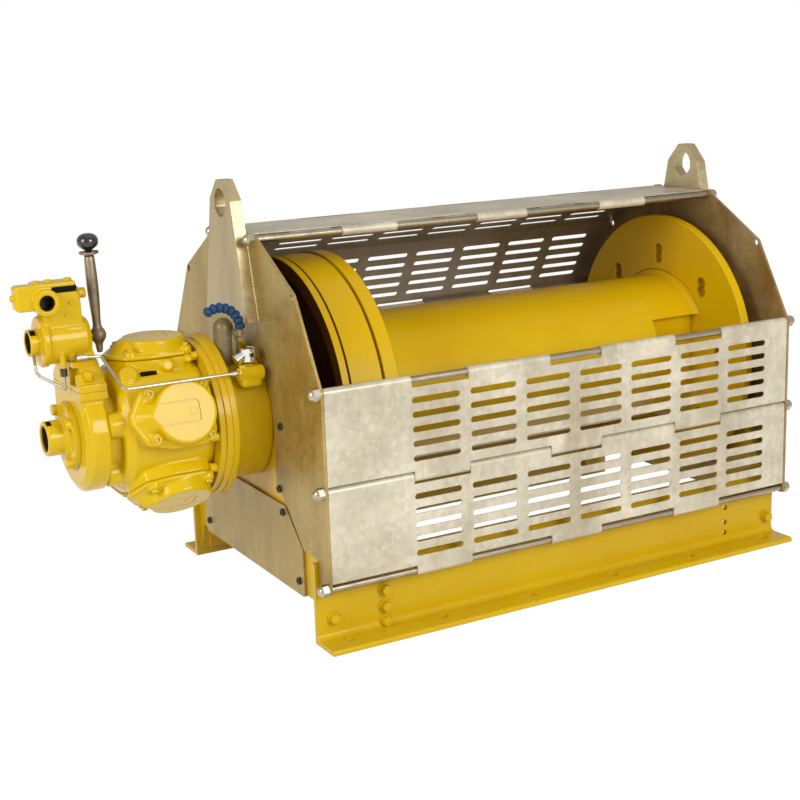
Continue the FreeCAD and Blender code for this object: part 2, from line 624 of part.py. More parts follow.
# riser: the flange on the saddle and a casting that narrows up to the valve
RISER_HALF = 46.0
flange_top = FLANGE_Z + 2 * FLANGE_LAYER
riser_half = [(-SADDLE_HALF + 6, flange_top), (-RISER_HALF, RISER_TOP)]
riser = side_plate(mirrored(riser_half), SADDLE_X0, SADDLE_X1 - 2)
riser_flange = box(SADDLE_X0, SADDLE_X1, -SADDLE_HALF, SADDLE_HALF, FLANGE_Z + FLANGE_LAYER, flange_top)
niche = box(SADDLE_X0 - 1, SADDLE_X0 + 12, -SADDLE_HALF + 24, -RISER_HALF + 16, flange_top - 6, RISER_TOP - 10)
riser = join([riser, riser_flange]).cut(niche)
save("valve_riser", round_edges(riser, 3.0, lambda b: upright_edge(b) and b.ZLength < FLANGE_LAYER + 1))

# control valve: spool body, upper block with side lobe, supply and exhaust ports
FACE_Z = SPOOL_Z + 28.0
LOBE_END = SUPPLY_X - LOBE_L
spool_end = SPOOL_X0 - SPOOL_FLANGE_T
port_end = spool_end - SPOOL_PORT_L
body = spun([(SPOOL_X1, 0), (SPOOL_X1, SPOOL_R - 8), (SPOOL_X1 - 10, SPOOL_R), (SPOOL_X0, SPOOL_R),
             (SPOOL_X0, SPOOL_FLANGE_R), (spool_end + 2, SPOOL_FLANGE_R), (spool_end, SPOOL_FLANGE_R - 2),
             (spool_end, SPOOL_PORT_R), (port_end, SPOOL_PORT_R), (port_end, 0)], SPOOL_Z)
upper = front_plate([(SPOOL_X0 - 6, SPOOL_Z), (SPOOL_X0 - 6, FACE_Z + 22), (SUPPLY_X - 18, FACE_Z + 35),
                     (SUPPLY_X - 18, BLOCK_TOP), (VALVE_RIGHT - 8, BLOCK_TOP), (VALVE_RIGHT, BLOCK_TOP - 38), (VALVE_RIGHT, FACE_Z),
                     (VALVE_RIGHT - 4, SPOOL_Z)], -BLOCK_FRONT, BLOCK_BACK)
upper = round_edges(upper, 4.0, lambda b: b.ZMin > FACE_Z + 10 and b.YLength < 0.01 and b.YMax < 0)
for x in (SUPPLY_X - 10, SUPPLY_X + 14, VALVE_RIGHT - 16):
    upper = upper.fuse(rod_z(BLOCK_TOP - 1, BLOCK_TOP + 4, 8.0, x, (BLOCK_BACK - BLOCK_FRONT) / 2))
lobe = box(LOBE_END, SUPPLY_X - 6, -BLOCK_FRONT, -BLOCK_FRONT + LOBE_DEEP, SUPPLY_Z - 14, SUPPLY_Z + 34)
lobe = round_edges(lobe, 8.0, lambda b: b.XMax < SUPPLY_X - 7)
lobe = lobe.fuse(rod_x(LOBE_END - 6, LOBE_END + 1, 6.0, -BLOCK_FRONT + LOBE_DEEP / 2, SUPPLY_Z + 11))
ped_right = SADDLE_X1 - 2
pedestal = front_plate([(SADDLE_X0 + 2, RISER_TOP), (ped_right, RISER_TOP), (ped_right, RISER_TOP + 5),
                        (VALVE_RIGHT, FACE_Z), (SADDLE_X0 + 2, FACE_Z)], -PED_HALF, PED_HALF)
pedestal = round_edges(pedestal, 5.0, lambda b: b.XMax > VALVE_RIGHT - 1 and b.ZMin > RISER_TOP + 4 and b.ZLength > 10)
stem = rod_z(STEM_Z, SPOOL_Z - 18, 6.0, STEM_X, -PED_HALF)
supply_end = -BLOCK_FRONT - SUPPLY_OUT
supply = rod_y(supply_end, 0, SUPPLY_R, SUPPLY_X, SUPPLY_Z)
valve = join([body.cut(box(SADDLE_X0 - 3, SPOOL_X1 + 1, -SPOOL_R, SPOOL_R, RISER_TOP - 20, RISER_TOP)),
              upper, lobe, pedestal, stem, supply])
valve = valve.cut(rod_y(supply_end - 1, supply_end + SUPPLY_DEEP, SUPPLY_BORE, SUPPLY_X, SUPPLY_Z))
valve = valve.cut(rod_x(port_end - 1, SPOOL_X0 + 20, SPOOL_PORT_BORE, 0, SPOOL_Z))
SPINDLE_END = SPOOL_X1 - 25.0
valve = valve.cut(rod_x(SPINDLE_END - 2, SPOOL_X1 + 1, PIN_R + RUN_FIT, 0, SPOOL_Z))
save("control_valve", valve)


def line(a, b):
    return Part.makeLine(V(a[0], 0, a[1]), V(b[0], 0, b[1]))


# lever: spindle, hub and tapered arm, then collar and knob
TAIL_R = 9.0
tail_z = -math.sqrt(HUB_R ** 2 - TAIL_R ** 2)
arm_r = 7.5
arm_z = math.sqrt(HUB_R ** 2 - arm_r ** 2)
profile = [line((0, -34), (5, -34)), line((5, -34), (TAIL_R, tail_z)),
           Part.Arc(V(TAIL_R, 0, tail_z), V(HUB_R, 0, 0), V(arm_r, 0, arm_z)).toShape(),
           line((arm_r, arm_z), (10.5, ARM_L * 0.63)), line((10.5, ARM_L * 0.63), (8.5, ARM_L)),
           line((8.5, ARM_L), (0, ARM_L)), line((0, ARM_L), (0, -34))]
shaft = Part.Face(Part.Wire(profile)).revolve(V(0, 0, 0), V(0, 0, 1), 360)
shaft.rotate(V(0, 0, 0), V(0, 1, 0), ARM_LEAN)
shaft.translate(V(LEVER_X, 0, SPOOL_Z))
save("lever_arm", join([shaft, rod_x(SPINDLE_END, LEVER_X - 5, PIN_R, 0, SPOOL_Z)]))

COLLAR_T = 4.0
COLLAR_R = 18.5
KNOB_R = 20.5


def on_arm(shape):
    # from the arm's own axis to its place on the leaning arm
    shape.rotate(V(0, 0, 0), V(0, 1, 0), ARM_LEAN)
    shape.translate(V(LEVER_X, 0, SPOOL_Z))
    return shape


def spun_z(points):
    wire = Part.makePolygon([V(r, 0, z) for r, z in points + points[:1]])
    return Part.Face(wire).revolve(V(0, 0, 0), V(0, 0, 1), 360)


save("lever_collar", on_arm(spun_z([(0, ARM_L), (10, ARM_L), (COLLAR_R, ARM_L + 3), (COLLAR_R, ARM_L + COLLAR_T + 3),
                                    (10, ARM_L + COLLAR_T), (0, ARM_L + COLLAR_T)])))
k0 = ARM_L + COLLAR_T
knob = [(0, k0), (6, k0), (6.5, k0 + 9), (12, k0 + 12), (KNOB_R - 2, k0 + 18), (KNOB_R, k0 + 24),
        (KNOB_R - 2, k0 + 30), (KNOB_R - 7, k0 + 36), (8, k0 + 39.5), (0, k0 + 40)]
save("lever_knob", on_arm(spun_z(knob)))


def pipe(points, r):
    # a round tube through the points, with ball corners
    parts = []
    for a, b in zip(points[:-1], points[1:]):
        d = V(*b) - V(*a)
        parts.append(Part.makeCylinder(r, d.Length, V(*a), d))
    for p in points[1:-1]:
        parts.append(Part.makeSphere(r, V(*p)))
    return join(parts)


# brake block, gauge and the two rigid tubes
BLOCK_L = 51.0
BLOCK_W = 60.0
BLOCK_H = 42.0
BLOCK_X1 = -(PLATE_OUT + 12.0)
BLOCK_X0 = BLOCK_X1 - BLOCK_L
BLOCK_Y0 = -(CASE_R + 15.0)
BLOCK_Y1 = BLOCK_Y0 + BLOCK_W
BLOCK_Z1 = AXIS_Z + 117.3
block = box(BLOCK_X0, BLOCK_X1, BLOCK_Y0, BLOCK_Y1, BLOCK_Z1 - BLOCK_H, BLOCK_Z1)
block = round_edges(block, 5.0, upright_edge).cut(rod_x(BLOCK_X0 - 1, BLOCK_X1 + 1, CASE_R))
save("brake_block", block)
GAUGE_R = 16.0
gauge = rod_z(BLOCK_Z1, BLOCK_Z1 + 27, GAUGE_R, (BLOCK_X0 + BLOCK_X1) / 2, BLOCK_Y1 - 22)
save("brake_gauge", gauge)
union_y = -PED_HALF - 22.0
union_z = RISER_TOP + 10.0
tube_y = BLOCK_Y0 + 1.0
tube_z = BLOCK_Z1 - 8.0
union_x = SADDLE_X0 + 14.0
pilot = [(union_x + 10, union_y, union_z), (ped_right + 2, union_y - 2, union_z - 2),
         (ped_right + 12, tube_y + 5, tube_z + 3), (ped_right + 20, tube_y, tube_z), (BLOCK_X0, tube_y, tube_z)]
pilot_fit = [rod_y(union_y, -PED_HALF, 5.0, union_x, union_z), rod_x(union_x - 7, union_x + 12, 6.5, union_y, union_z)]
save("pilot_line", join([pipe(pilot, TUBE_R)] + pilot_fit))
touch = SPOOL_PORT_R + TUBE_R * 0.5
low = math.radians(57)
bleed = [(port_end + 6, -touch * math.cos(low), SPOOL_Z - touch * math.sin(low)),
         (port_end + 2, 2 - PED_HALF, STEM_Z + 11), (port_end + 2, -PED_HALF, STEM_Z - 1),
         (port_end + 8, -PED_HALF, STEM_Z - 9), (STEM_X, -PED_HALF, STEM_Z - 40), (STEM_X, -PED_HALF, STEM_Z - 15)]
sleeve = rod_z(STEM_Z - 16, STEM_Z, TUBE_R * 1.5, STEM_X, -PED_HALF)
save("bleed_line", join([pipe(bleed, TUBE_R), sleeve]))

# breather and segmented hose above the gear case
BREATHER_R = 20.3
BREATHER_Z = AXIS_Z + 203.3
breather_x = CASE_END + BREATHER_R + 0.5
breather = rod_z(AXIS_Z + 110, BREATHER_Z - BREATHER_R, BREATHER_R, breather_x, -60)
crown = Part.makeSphere(BREATHER_R, V(breather_x, -60, BREATHER_Z - BREATHER_R))
breather = join([breather, crown])
breather = breather.cut(rod_x(CASE_END, -PLATE_OUT, CASE_R))
save("breather_cap", breather)
BEAD_R = 10.0
BEADS = 8
BEAD_PITCH = 21.4
ARC_R = 40.0
ARC_X = CASE_END + 6
ARC_Y = -108.0
ARC_Z = AXIS_Z + 193.3
POST_X = ARC_X + ARC_R
beads = []
for k in range(BEADS):
    t = math.radians(BEAD_PITCH * k - 8)
    beads.append(Part.makeSphere(BEAD_R, V(ARC_X + ARC_R * math.cos(t), ARC_Y, ARC_Z + ARC_R * math.sin(t))))
post = rod_z(AXIS_Z + 90, ARC_Z - 14, 7.0, POST_X, -76).cut(rod_x(CASE_END, -PLATE_OUT, CASE_R))
elbow = rod_y(ARC_Y, -76, 7.0, POST_X, ARC_Z - 14)
save("vent_hose", join([post, elbow, rod_z(ARC_Z - 16, ARC_Z, 6.0, POST_X, ARC_Y)] + beads))
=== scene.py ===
import bpy
import math
from mathutils import Matrix, Vector


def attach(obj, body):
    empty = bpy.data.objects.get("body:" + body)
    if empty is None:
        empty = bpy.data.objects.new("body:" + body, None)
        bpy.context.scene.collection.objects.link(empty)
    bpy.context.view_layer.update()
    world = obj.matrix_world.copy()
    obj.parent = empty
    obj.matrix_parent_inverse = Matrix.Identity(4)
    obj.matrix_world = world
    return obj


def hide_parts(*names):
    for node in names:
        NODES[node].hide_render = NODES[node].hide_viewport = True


# Air winch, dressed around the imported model. Metres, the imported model's own axes.
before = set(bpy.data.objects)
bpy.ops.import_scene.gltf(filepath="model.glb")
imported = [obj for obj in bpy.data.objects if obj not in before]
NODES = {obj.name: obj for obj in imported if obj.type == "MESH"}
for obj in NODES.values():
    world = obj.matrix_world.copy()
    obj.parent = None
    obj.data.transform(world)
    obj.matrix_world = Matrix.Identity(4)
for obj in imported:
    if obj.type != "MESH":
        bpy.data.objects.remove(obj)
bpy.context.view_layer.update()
X, Y, Z = Vector((1, 0, 0)), Vector((0, 1, 0)), Vector((0, 0, 1))
MM = 0.001

# Places that the winch's pieces share, in metres
AXIS_Z = 0.4087
PLATE_OUT = 0.574
MOTOR_X = -0.7557
CYLINDERS = 5


# Camera: the photograph's view, with its lens, height and slight roll
LENS = 65.53
EYE = Vector((-1.6980, -2.7009, 1.11065))
YAW, PITCH, ROLL = [math.radians(d) for d in (-28.899, 13.475, -1.984)]
ahead = Vector((-math.sin(YAW) * math.cos(PITCH), math.cos(YAW) * math.cos(PITCH), -math.sin(PITCH)))
level = ahead.cross(Z).normalized()
rise = level.cross(ahead)
side = math.cos(ROLL) * level + math.sin(ROLL) * rise
top = -math.sin(ROLL) * level + math.cos(ROLL) * rise
camera = bpy.data.objects.new("camera", bpy.data.cameras.new("camera"))
bpy.context.collection.objects.link(camera)
camera.data.lens = LENS
camera.data.sensor_width = 36.0
camera.data.clip_end = 60.0
camera.matrix_world = Matrix.Translation(EYE) @ Matrix((side, top, -ahead)).transposed().to_4x4()
bpy.context.scene.camera = camera
bpy.context.scene.view_settings.view_transform = "Standard"


# Node helpers
def add_node(tree, kind, **values):
    node = tree.nodes.new(kind)
    for key, value in values.items():
        setattr(node, key, value)
    return node


def wire(tree, source, target):
    tree.links.new(source, target)


def set_inputs(node, **values):
    for key, value in values.items():
        node.inputs[key.replace("_", " ")].default_value = value
    return node


def ramp(tree, source, stops):
    # a colour ramp with the stops given as (place, grey value)
    node = add_node(tree, "ShaderNodeValToRGB")
    node.color_ramp.elements[0].position, node.color_ramp.elements[1].position = stops[0][0], stops[-1][0]
    for place, value in stops[1:-1]:
        node.color_ramp.elements.new(place)
    for element, (place, value) in zip(node.color_ramp.elements, stops):
        element.position = place
        element.color = (value, value, value, 1)
    wire(tree, source, node.inputs["Fac"])
    return node.outputs["Color"]


def mixed(tree, share, first, second):
    # colour mix: each of the three may be a socket or a value
    node = add_node(tree, "ShaderNodeMix", data_type="RGBA", clamp_factor=True)
    for socket, value in ((node.inputs[0], share), (node.inputs[6], first), (node.inputs[7], second)):
        if isinstance(value, bpy.types.NodeSocket):
            wire(tree, value, socket)
        else:
            socket.default_value = value
    return node.outputs[2]


def maths(tree, operation, first, second, clamp=False):
    node = add_node(tree, "ShaderNodeMath", operation=operation, use_clamp=clamp)
    for socket, value in zip(node.inputs, (first, second)):
        if isinstance(value, bpy.types.NodeSocket):
            wire(tree, value, socket)
        else:
            socket.default_value = value
    return node.outputs[0]


def noise(tree, place, scale, detail=3.0, rough=0.55, stretch=None):
    # noise in the piece's own place, stretched along the axes where asked
    if stretch:
        turn = add_node(tree, "ShaderNodeMapping")
        turn.inputs["Scale"].default_value = stretch
        wire(tree, place, turn.inputs["Vector"])
        place = turn.outputs["Vector"]
    node = set_inputs(add_node(tree, "ShaderNodeTexNoise"), Detail=detail, Roughness=rough)
    if isinstance(scale, bpy.types.NodeSocket):
        wire(tree, scale, node.inputs["Scale"])
    else:
        node.inputs["Scale"].default_value = scale
    wire(tree, place, node.inputs["Vector"])
    return node.outputs["Fac"]


def new_group(name, inputs, outputs):
    group = bpy.data.node_groups.new(name, "ShaderNodeTree")
    for label, kind, value in inputs:
        socket = group.interface.new_socket(label, in_out="INPUT", socket_type=kind)
        socket.default_value = value
    for label, kind in outputs:
        group.interface.new_socket(label, in_out="OUTPUT", socket_type=kind)
    return group, add_node(group, "NodeGroupInput"), add_node(group, "NodeGroupOutput")


FLOAT, COLOUR, VECTOR = "NodeSocketFloat", "NodeSocketColor", "NodeSocketVector"


def build_paint_coat():
    # sprayed enamel: slow drift of tone, dulled patches, dust, orange peel
    group, given, out = new_group("paint coat", [
        ("Place", VECTOR, (0, 0, 0)), ("Paint", COLOUR, (0.8, 0.5, 0.02, 1)),
        ("Deep Paint", COLOUR, (0.6, 0.3, 0.01, 1)), ("Dust", COLOUR, (0.6, 0.5, 0.3, 1)),
        ("Drift Scale", FLOAT, 7.0), ("Dust Amount", FLOAT, 0.2),
        ("Gloss Roughness", FLOAT, 0.2), ("Peel", FLOAT, 0.5)],
        [("Color", COLOUR), ("Roughness", FLOAT), ("Height", FLOAT)])
    place = given.outputs["Place"]
    drift = ramp(group, noise(group, place, given.outputs["Drift Scale"], 4.0), [(0.35, 0.0), (0.68, 1.0)])
    drift = maths(group, "MULTIPLY", drift, 0.55)
    tone = mixed(group, drift, given.outputs["Paint"], given.outputs["Deep Paint"])
    specks = ramp(group, noise(group, place, 140.0, 2.0), [(0.60, 0.0), (0.72, 1.0)])
    film = ramp(group, noise(group, place, 18.0, 5.0, 0.6), [(0.45, 0.0), (0.75, 1.0)])
    facing = add_node(group, "ShaderNodeNewGeometry")
    parts = add_node(group, "ShaderNodeSeparateXYZ")
    wire(group, facing.outputs["Normal"], parts.inputs[0])
    level_share = maths(group, "MAXIMUM", parts.outputs["Z"], 0.15)
    lying = maths(group, "MULTIPLY", level_share, given.outputs["Dust Amount"])
    cover = maths(group, "ADD", film, maths(group, "MULTIPLY", specks, 0.5), True)
    dust = maths(group, "MULTIPLY", lying, cover)
    wire(group, mixed(group, dust, tone, given.outputs["Dust"]), out.inputs["Color"])
    dull = maths(group, "ADD", maths(group, "MULTIPLY", film, 0.16), maths(group, "MULTIPLY", dust, 0.5))
    wire(group, maths(group, "ADD", given.outputs["Gloss Roughness"], dull, True), out.inputs["Roughness"])
    peel = maths(group, "MULTIPLY", noise(group, place, 420.0, 2.0), given.outputs["Peel"])
    wave = maths(group, "MULTIPLY", noise(group, place, 60.0, 2.0), 1.4)
    wire(group, maths(group, "ADD", peel, wave), out.inputs["Height"])
    return group


def build_zinc_skin():
    # hot-dip zinc: spangles, white bloom, olive stains and runs down the sheet
    group, given, out = new_group("zinc skin", [
        ("Place", VECTOR, (0, 0, 0)), ("Zinc", COLOUR, (0.6, 0.6, 0.58, 1)),
        ("Bloom", COLOUR, (0.8, 0.8, 0.76, 1)), ("Stain", COLOUR, (0.3, 0.27, 0.2, 1)),
        ("Spangle Scale", FLOAT, 90.0), ("Stain Amount", FLOAT, 0.5), ("Bloom Amount", FLOAT, 0.6)],
        [("Color", COLOUR), ("Roughness", FLOAT), ("Height", FLOAT)])
    place = given.outputs["Place"]
    cells = set_inputs(add_node(group, "ShaderNodeTexVoronoi"), Randomness=1.0)
    wire(group, place, cells.inputs["Vector"])
    wire(group, given.outputs["Spangle Scale"], cells.inputs["Scale"])
    facets = add_node(group, "ShaderNodeSeparateColor")
    wire(group, cells.outputs["Color"], facets.inputs[0])
    spangle = facets.outputs["Red"]
    cloud = ramp(group, noise(group, place, 5.5, 6.0, 0.62), [(0.42, 0.0), (0.66, 1.0)])
    runs = ramp(group, noise(group, place, 9.0, 5.0, 0.6, (1.0, 1.0, 0.22)), [(0.46, 0.0), (0.70, 1.0)])
    smear = ramp(group, noise(group, place, 13.0, 4.0, 0.65, (0.45, 1.0, 1.0)), [(0.50, 0.0), (0.74, 1.0)])
    bloom = maths(group, "MULTIPLY", maths(group, "MAXIMUM", cloud, smear), given.outputs["Bloom Amount"])
    skin = mixed(group, bloom, given.outputs["Zinc"], given.outputs["Bloom"])
    stain = maths(group, "MULTIPLY", runs, given.outputs["Stain Amount"])
    skin = mixed(group, stain, skin, given.outputs["Stain"])
    glint = add_node(group, "ShaderNodeMix", data_type="RGBA", blend_type="MULTIPLY")
    glint.inputs[0].default_value = 0.5
    wire(group, skin, glint.inputs[6])
    wire(group, ramp(group, spangle, [(0.0, 0.80), (1.0, 1.12)]), glint.inputs[7])
    wire(group, glint.outputs[2], out.inputs["Color"])
    rough = maths(group, "ADD", maths(group, "MULTIPLY", bloom, 0.22), maths(group, "MULTIPLY", spangle, 0.10))
    wire(group, maths(group, "ADD", rough, 0.30, True), out.inputs["Roughness"])
    wire(group, maths(group, "ADD", maths(group, "MULTIPLY", spangle, 0.25), cloud), out.inputs["Height"])
    return group


def build_tooled_metal():
    # bare steel: fine turning or drawing marks, tarnish and handling
    group, given, out = new_group("tooled metal", [
        ("Place", VECTOR, (0, 0, 0)), ("Metal", COLOUR, (0.6, 0.6, 0.6, 1)),
        ("Tarnish", COLOUR, (0.3, 0.25, 0.2, 1)),
        ("Tarnish Amount", FLOAT, 0.3), ("Base Roughness", FLOAT, 0.2), ("Grain Scale", FLOAT, 300.0)],
        [("Color", COLOUR), ("Roughness", FLOAT), ("Height", FLOAT)])
    place = given.outputs["Place"]
    patch = ramp(group, noise(group, place, 30.0, 5.0, 0.6), [(0.42, 0.0), (0.70, 1.0)])
    grain = noise(group, place, given.outputs["Grain Scale"], 3.0, 0.6)
    share = maths(group, "MULTIPLY", patch, given.outputs["Tarnish Amount"])
    wire(group, mixed(group, share, given.outputs["Metal"], given.outputs["Tarnish"]), out.inputs["Color"])
    rough = maths(group, "ADD", given.outputs["Base Roughness"], maths(group, "MULTIPLY", share, 0.4))
    rough = maths(group, "ADD", rough, maths(group, "MULTIPLY", grain, 0.06), True)
    wire(group, rough, out.inputs["Roughness"])
    wire(group, grain, out.inputs["Height"])
    return group


PAINT_COAT, ZINC_SKIN, TOOLED_METAL = build_paint_coat(), build_zinc_skin(), build_tooled_metal()


def finish_of(name, group, given, bump, edge=0.0, **shader):
    # a material: one of the shared groups, a rounded edge and a bump on one shader
    material = bpy.data.materials.new(name)
    material.use_nodes = True
    tree = material.node_tree
    tree.nodes.clear()
    result = add_node(tree, "ShaderNodeOutputMaterial")
    surface = set_inputs(add_node(tree, "ShaderNodeBsdfPrincipled"), **shader)
    wire(tree, surface.outputs["BSDF"], result.inputs["Surface"])
    look = add_node(tree, "ShaderNodeGroup", node_tree=group)
    for key, value in given.items():
        look.inputs[key].default_value = value
    wire(tree, add_node(tree, "ShaderNodeTexCoord").outputs["Object"], look.inputs["Place"])
    wire(tree, look.outputs["Color"], surface.inputs["Base Color"])
    wire(tree, look.outputs["Roughness"], surface.inputs["Roughness"])
    relief = set_inputs(add_node(tree, "ShaderNodeBump"), Strength=bump, Distance=0.0004)
    wire(tree, look.outputs["Height"], relief.inputs["Height"])
    if edge:
        soft = set_inputs(add_node(tree, "ShaderNodeBevel", samples=4), Radius=edge)
        wire(tree, soft.outputs["Normal"], relief.inputs["Normal"])
    wire(tree, relief.outputs["Normal"], surface.inputs["Normal"])
    return material


def enamel(name, paint, deep, gloss, peel, dust, edge=0.0, **shader):
    look = {"Specular_IOR_Level": 0.22, "Coat_Weight": 0.12, "Coat_Roughness": 0.07}
    look.update(shader)
    given = {"Paint": (*paint, 1), "Deep Paint": (*deep, 1), "Dust": (0.50, 0.38, 0.12, 1), "Dust Amount": dust,
             "Gloss Roughness": gloss, "Peel": peel, "Drift Scale": 4.0}
    return finish_of(name, PAINT_COAT, given, 0.35, edge, **look)


def zinc(name, colour, bloom, stain, bloom_amount, stain_amount, metallic, **shader):
    given = {"Zinc": (*colour, 1), "Bloom": (*bloom, 1), "Stain": (*stain, 1), "Stain Amount": stain_amount,
             "Bloom Amount": bloom_amount}
    return finish_of(name, ZINC_SKIN, given, 0.25, 0.0012, Metallic=metallic, **shader)


def steel(name, metal, tarnish, amount, rough, metallic=1.0, grain=300.0, bump=0.15, **shader):
    given = {"Metal": (*metal, 1), "Tarnish": (*tarnish, 1), "Tarnish Amount": amount, "Base Roughness": rough,
             "Grain Scale": grain}
    return finish_of(name, TOOLED_METAL, given, bump, 0.0, Metallic=metallic, **shader)


def look_and_shader(material):
    # the material's shared group and its shader, to be wired anew
    nodes = material.node_tree.nodes
    return (next(n for n in nodes if n.type == "GROUP"), next(n for n in nodes if n.type == "BSDF_PRINCIPLED"))


def build_below_rim():
    # mask of what lies nearer the drum's axis than the given radius
    group, given, out = new_group("below rim", [("Place", VECTOR, (0, 0, 0)), ("Axis Height", FLOAT, AXIS_Z),
                                                ("Rim Radius", FLOAT, 0.3)], [("Mask", FLOAT)])
    parts = add_node(group, "ShaderNodeSeparateXYZ")
    wire(group, given.outputs["Place"], parts.inputs[0])
    up = maths(group, "SUBTRACT", parts.outputs["Z"], given.outputs["Axis Height"])
    square = maths(group, "ADD", maths(group, "MULTIPLY", up, up), maths(
        group, "MULTIPLY", parts.outputs["Y"], parts.outputs["Y"]))
    gap = maths(group, "SUBTRACT", given.outputs["Rim Radius"], maths(group, "SQRT", square, 0.0))
    wire(group, maths(group, "MULTIPLY", gap, 900.0, True), out.inputs["Mask"])
    return group


def shaded_inside(name, rim_radius):
    # the drum's paint with painted shade inside the rim: a dark red-brown stands in for the shade there
    material = MATERIALS["drum"].copy()
    material.name = name
    tree = material.node_tree
    look, shader = look_and_shader(material)
    inside = add_node(tree, "ShaderNodeGroup", node_tree=build_below_rim())
    inside.inputs["Rim Radius"].default_value = rim_radius
    wire(tree, add_node(tree, "ShaderNodeTexCoord").outputs["Object"], inside.inputs["Place"])
    both = mixed(tree, inside.outputs["Mask"], look.outputs["Color"], INSIDE_SHADE)
    wire(tree, both, shader.inputs["Base Color"])
    return material


# Colours in linear light, with the finish of every imported node
# painted shade: the dark red-brown inside the brake drum's rim, where shade falls
INSIDE_SHADE = (0.110, 0.034, 0.012, 1)
# the plain zinc that the outward faces of the rear guard and right plate are mixed towards; their inside faces
# keep painted shade
OUTSIDE_ZINC, OUTSIDE_SHARE = (0.66, 0.62, 0.51, 1), 0.70
BRAKE_RIM_INNER = 0.3022
YELLOW = (0.69, 0.505, 0.0020)
DEEP_YELLOW = (0.61, 0.385, 0.0015)
MATERIALS = {
    "casting": enamel("yellow casting", YELLOW, DEEP_YELLOW, 0.15, 1.0, 0.03),
    "plate": enamel("yellow plate", (0.66, 0.465, 0.0020), (0.58, 0.345, 0.0015), 0.26, 0.6, 0.15, 0.0015),
    "drum": enamel("drum paint", (0.70, 0.475, 0.0020), (0.64, 0.365, 0.0015), 0.30, 0.5, 0.02, 0.0015,
                   Coat_Weight=0.05),
    "sheet": zinc("galvanised sheet", (0.58, 0.54, 0.43), (0.83, 0.79, 0.67), (0.34, 0.28, 0.17), 0.72, 0.6,
                  0.35),
    # painted reflection and painted shade: the left plate's yellow-brown zinc stands in for the yellow motor
    # mirrored in it and the shade on it
    "left plate": zinc("left end plate", (0.40, 0.290, 0.090), (0.62, 0.50, 0.24), (0.20, 0.14, 0.05), 0.5, 0.6,
                       0.5, Specular_IOR_Level=0.25),
    # painted shade and painted reflection: the right plate's brown zinc stands in for its shade and the yellow
    # paint mirrored in it; only its inside face keeps it
    "right plate": zinc("right end plate", (0.32, 0.215, 0.085), (0.62, 0.54, 0.38), (0.17, 0.08, 0.02), 0.35,
                        0.8, 0.35, Specular_IOR_Level=0.25),
    # painted shade: the dark brown zinc of the guard's inside, kept on its inward faces
    "rear sheet": zinc("inside of guard", (0.28, 0.22, 0.15), (0.42, 0.34, 0.24), (0.18, 0.12, 0.06), 0.45, 0.6,
                       0.35, Specular_IOR_Level=0.3),
    "lug": zinc("lug zinc", (0.52, 0.43, 0.24), (0.70, 0.61, 0.38), (0.30, 0.23, 0.10), 0.5, 0.5, 0.7),
    "breather": zinc("breather zinc", (0.25, 0.215, 0.12), (0.36, 0.32, 0.20), (0.12, 0.09, 0.04), 0.5, 0.6,
                     0.25, Specular_IOR_Level=0.2),
    "rod": steel("rod steel", (0.42, 0.36, 0.26), (0.20, 0.15, 0.09), 0.5, 0.30),
    "tube": steel("tube steel", (0.60, 0.54, 0.44), (0.36, 0.29, 0.19), 0.4, 0.24),
    "nut": steel("zinc nut", (0.55, 0.50, 0.40), (0.28, 0.22, 0.14), 0.5, 0.25),
    "chrome": steel("gauge chrome", (0.82, 0.81, 0.79), (0.62, 0.58, 0.50), 0.25, 0.07),
    "forged": steel("forged lever", (0.30, 0.25, 0.18), (0.12, 0.09, 0.06), 0.60, 0.36, 0.85, 120.0, 0.5),
    "dark screw": steel("dark screw", (0.10, 0.09, 0.08), (0.03, 0.03, 0.03), 0.50, 0.35),
    "knob": steel("black knob", (0.010, 0.010, 0.010), (0.016, 0.015, 0.014), 0.30, 0.10, 0.0,
                  Coat_Weight=0.8, Coat_Roughness=0.04),
    "tag": steel("black tag", (0.008, 0.007, 0.006), (0.014, 0.012, 0.010), 0.30, 0.50, 0.0,
                 Specular_IOR_Level=0.05),
    "hose": steel("blue hose", (0.010, 0.048, 0.150), (0.016, 0.075, 0.210), 0.50, 0.36, 0.0,
                  Specular_IOR_Level=0.3),
    # painted shade: the near-black brown of the port bores stands in for the shade inside them
    "bore": steel("port bore", (0.060, 0.042, 0.020), (0.020, 0.014, 0.008), 0.60, 0.40, 0.5),
}

MATERIALS["brake drum"] = shaded_inside("brake drum paint with painted shade", BRAKE_RIM_INNER)


def painted_shade_inside(finish, axis):
    # the same zinc, paler where the sheet faces outwards along the axis; the inside faces keep the darker
    # colour, which is painted shade
    tree = MATERIALS[finish].node_tree
    look, shader = look_and_shader(MATERIALS[finish])
    parts = add_node(tree, "ShaderNodeSeparateXYZ")
    wire(tree, add_node(tree, "ShaderNodeNewGeometry").outputs["Normal"], parts.inputs[0])
    outward = maths(tree, "MULTIPLY", parts.outputs[axis], 4.0, True)
    unshaded = mixed(tree, OUTSIDE_SHARE, look.outputs["Color"], OUTSIDE_ZINC)
    wire(tree, mixed(tree, outward, look.outputs["Color"], unshaded), shader.inputs["Base Color"])


painted_shade_inside("rear sheet", "Y")
painted_shade_inside("right plate", "X")

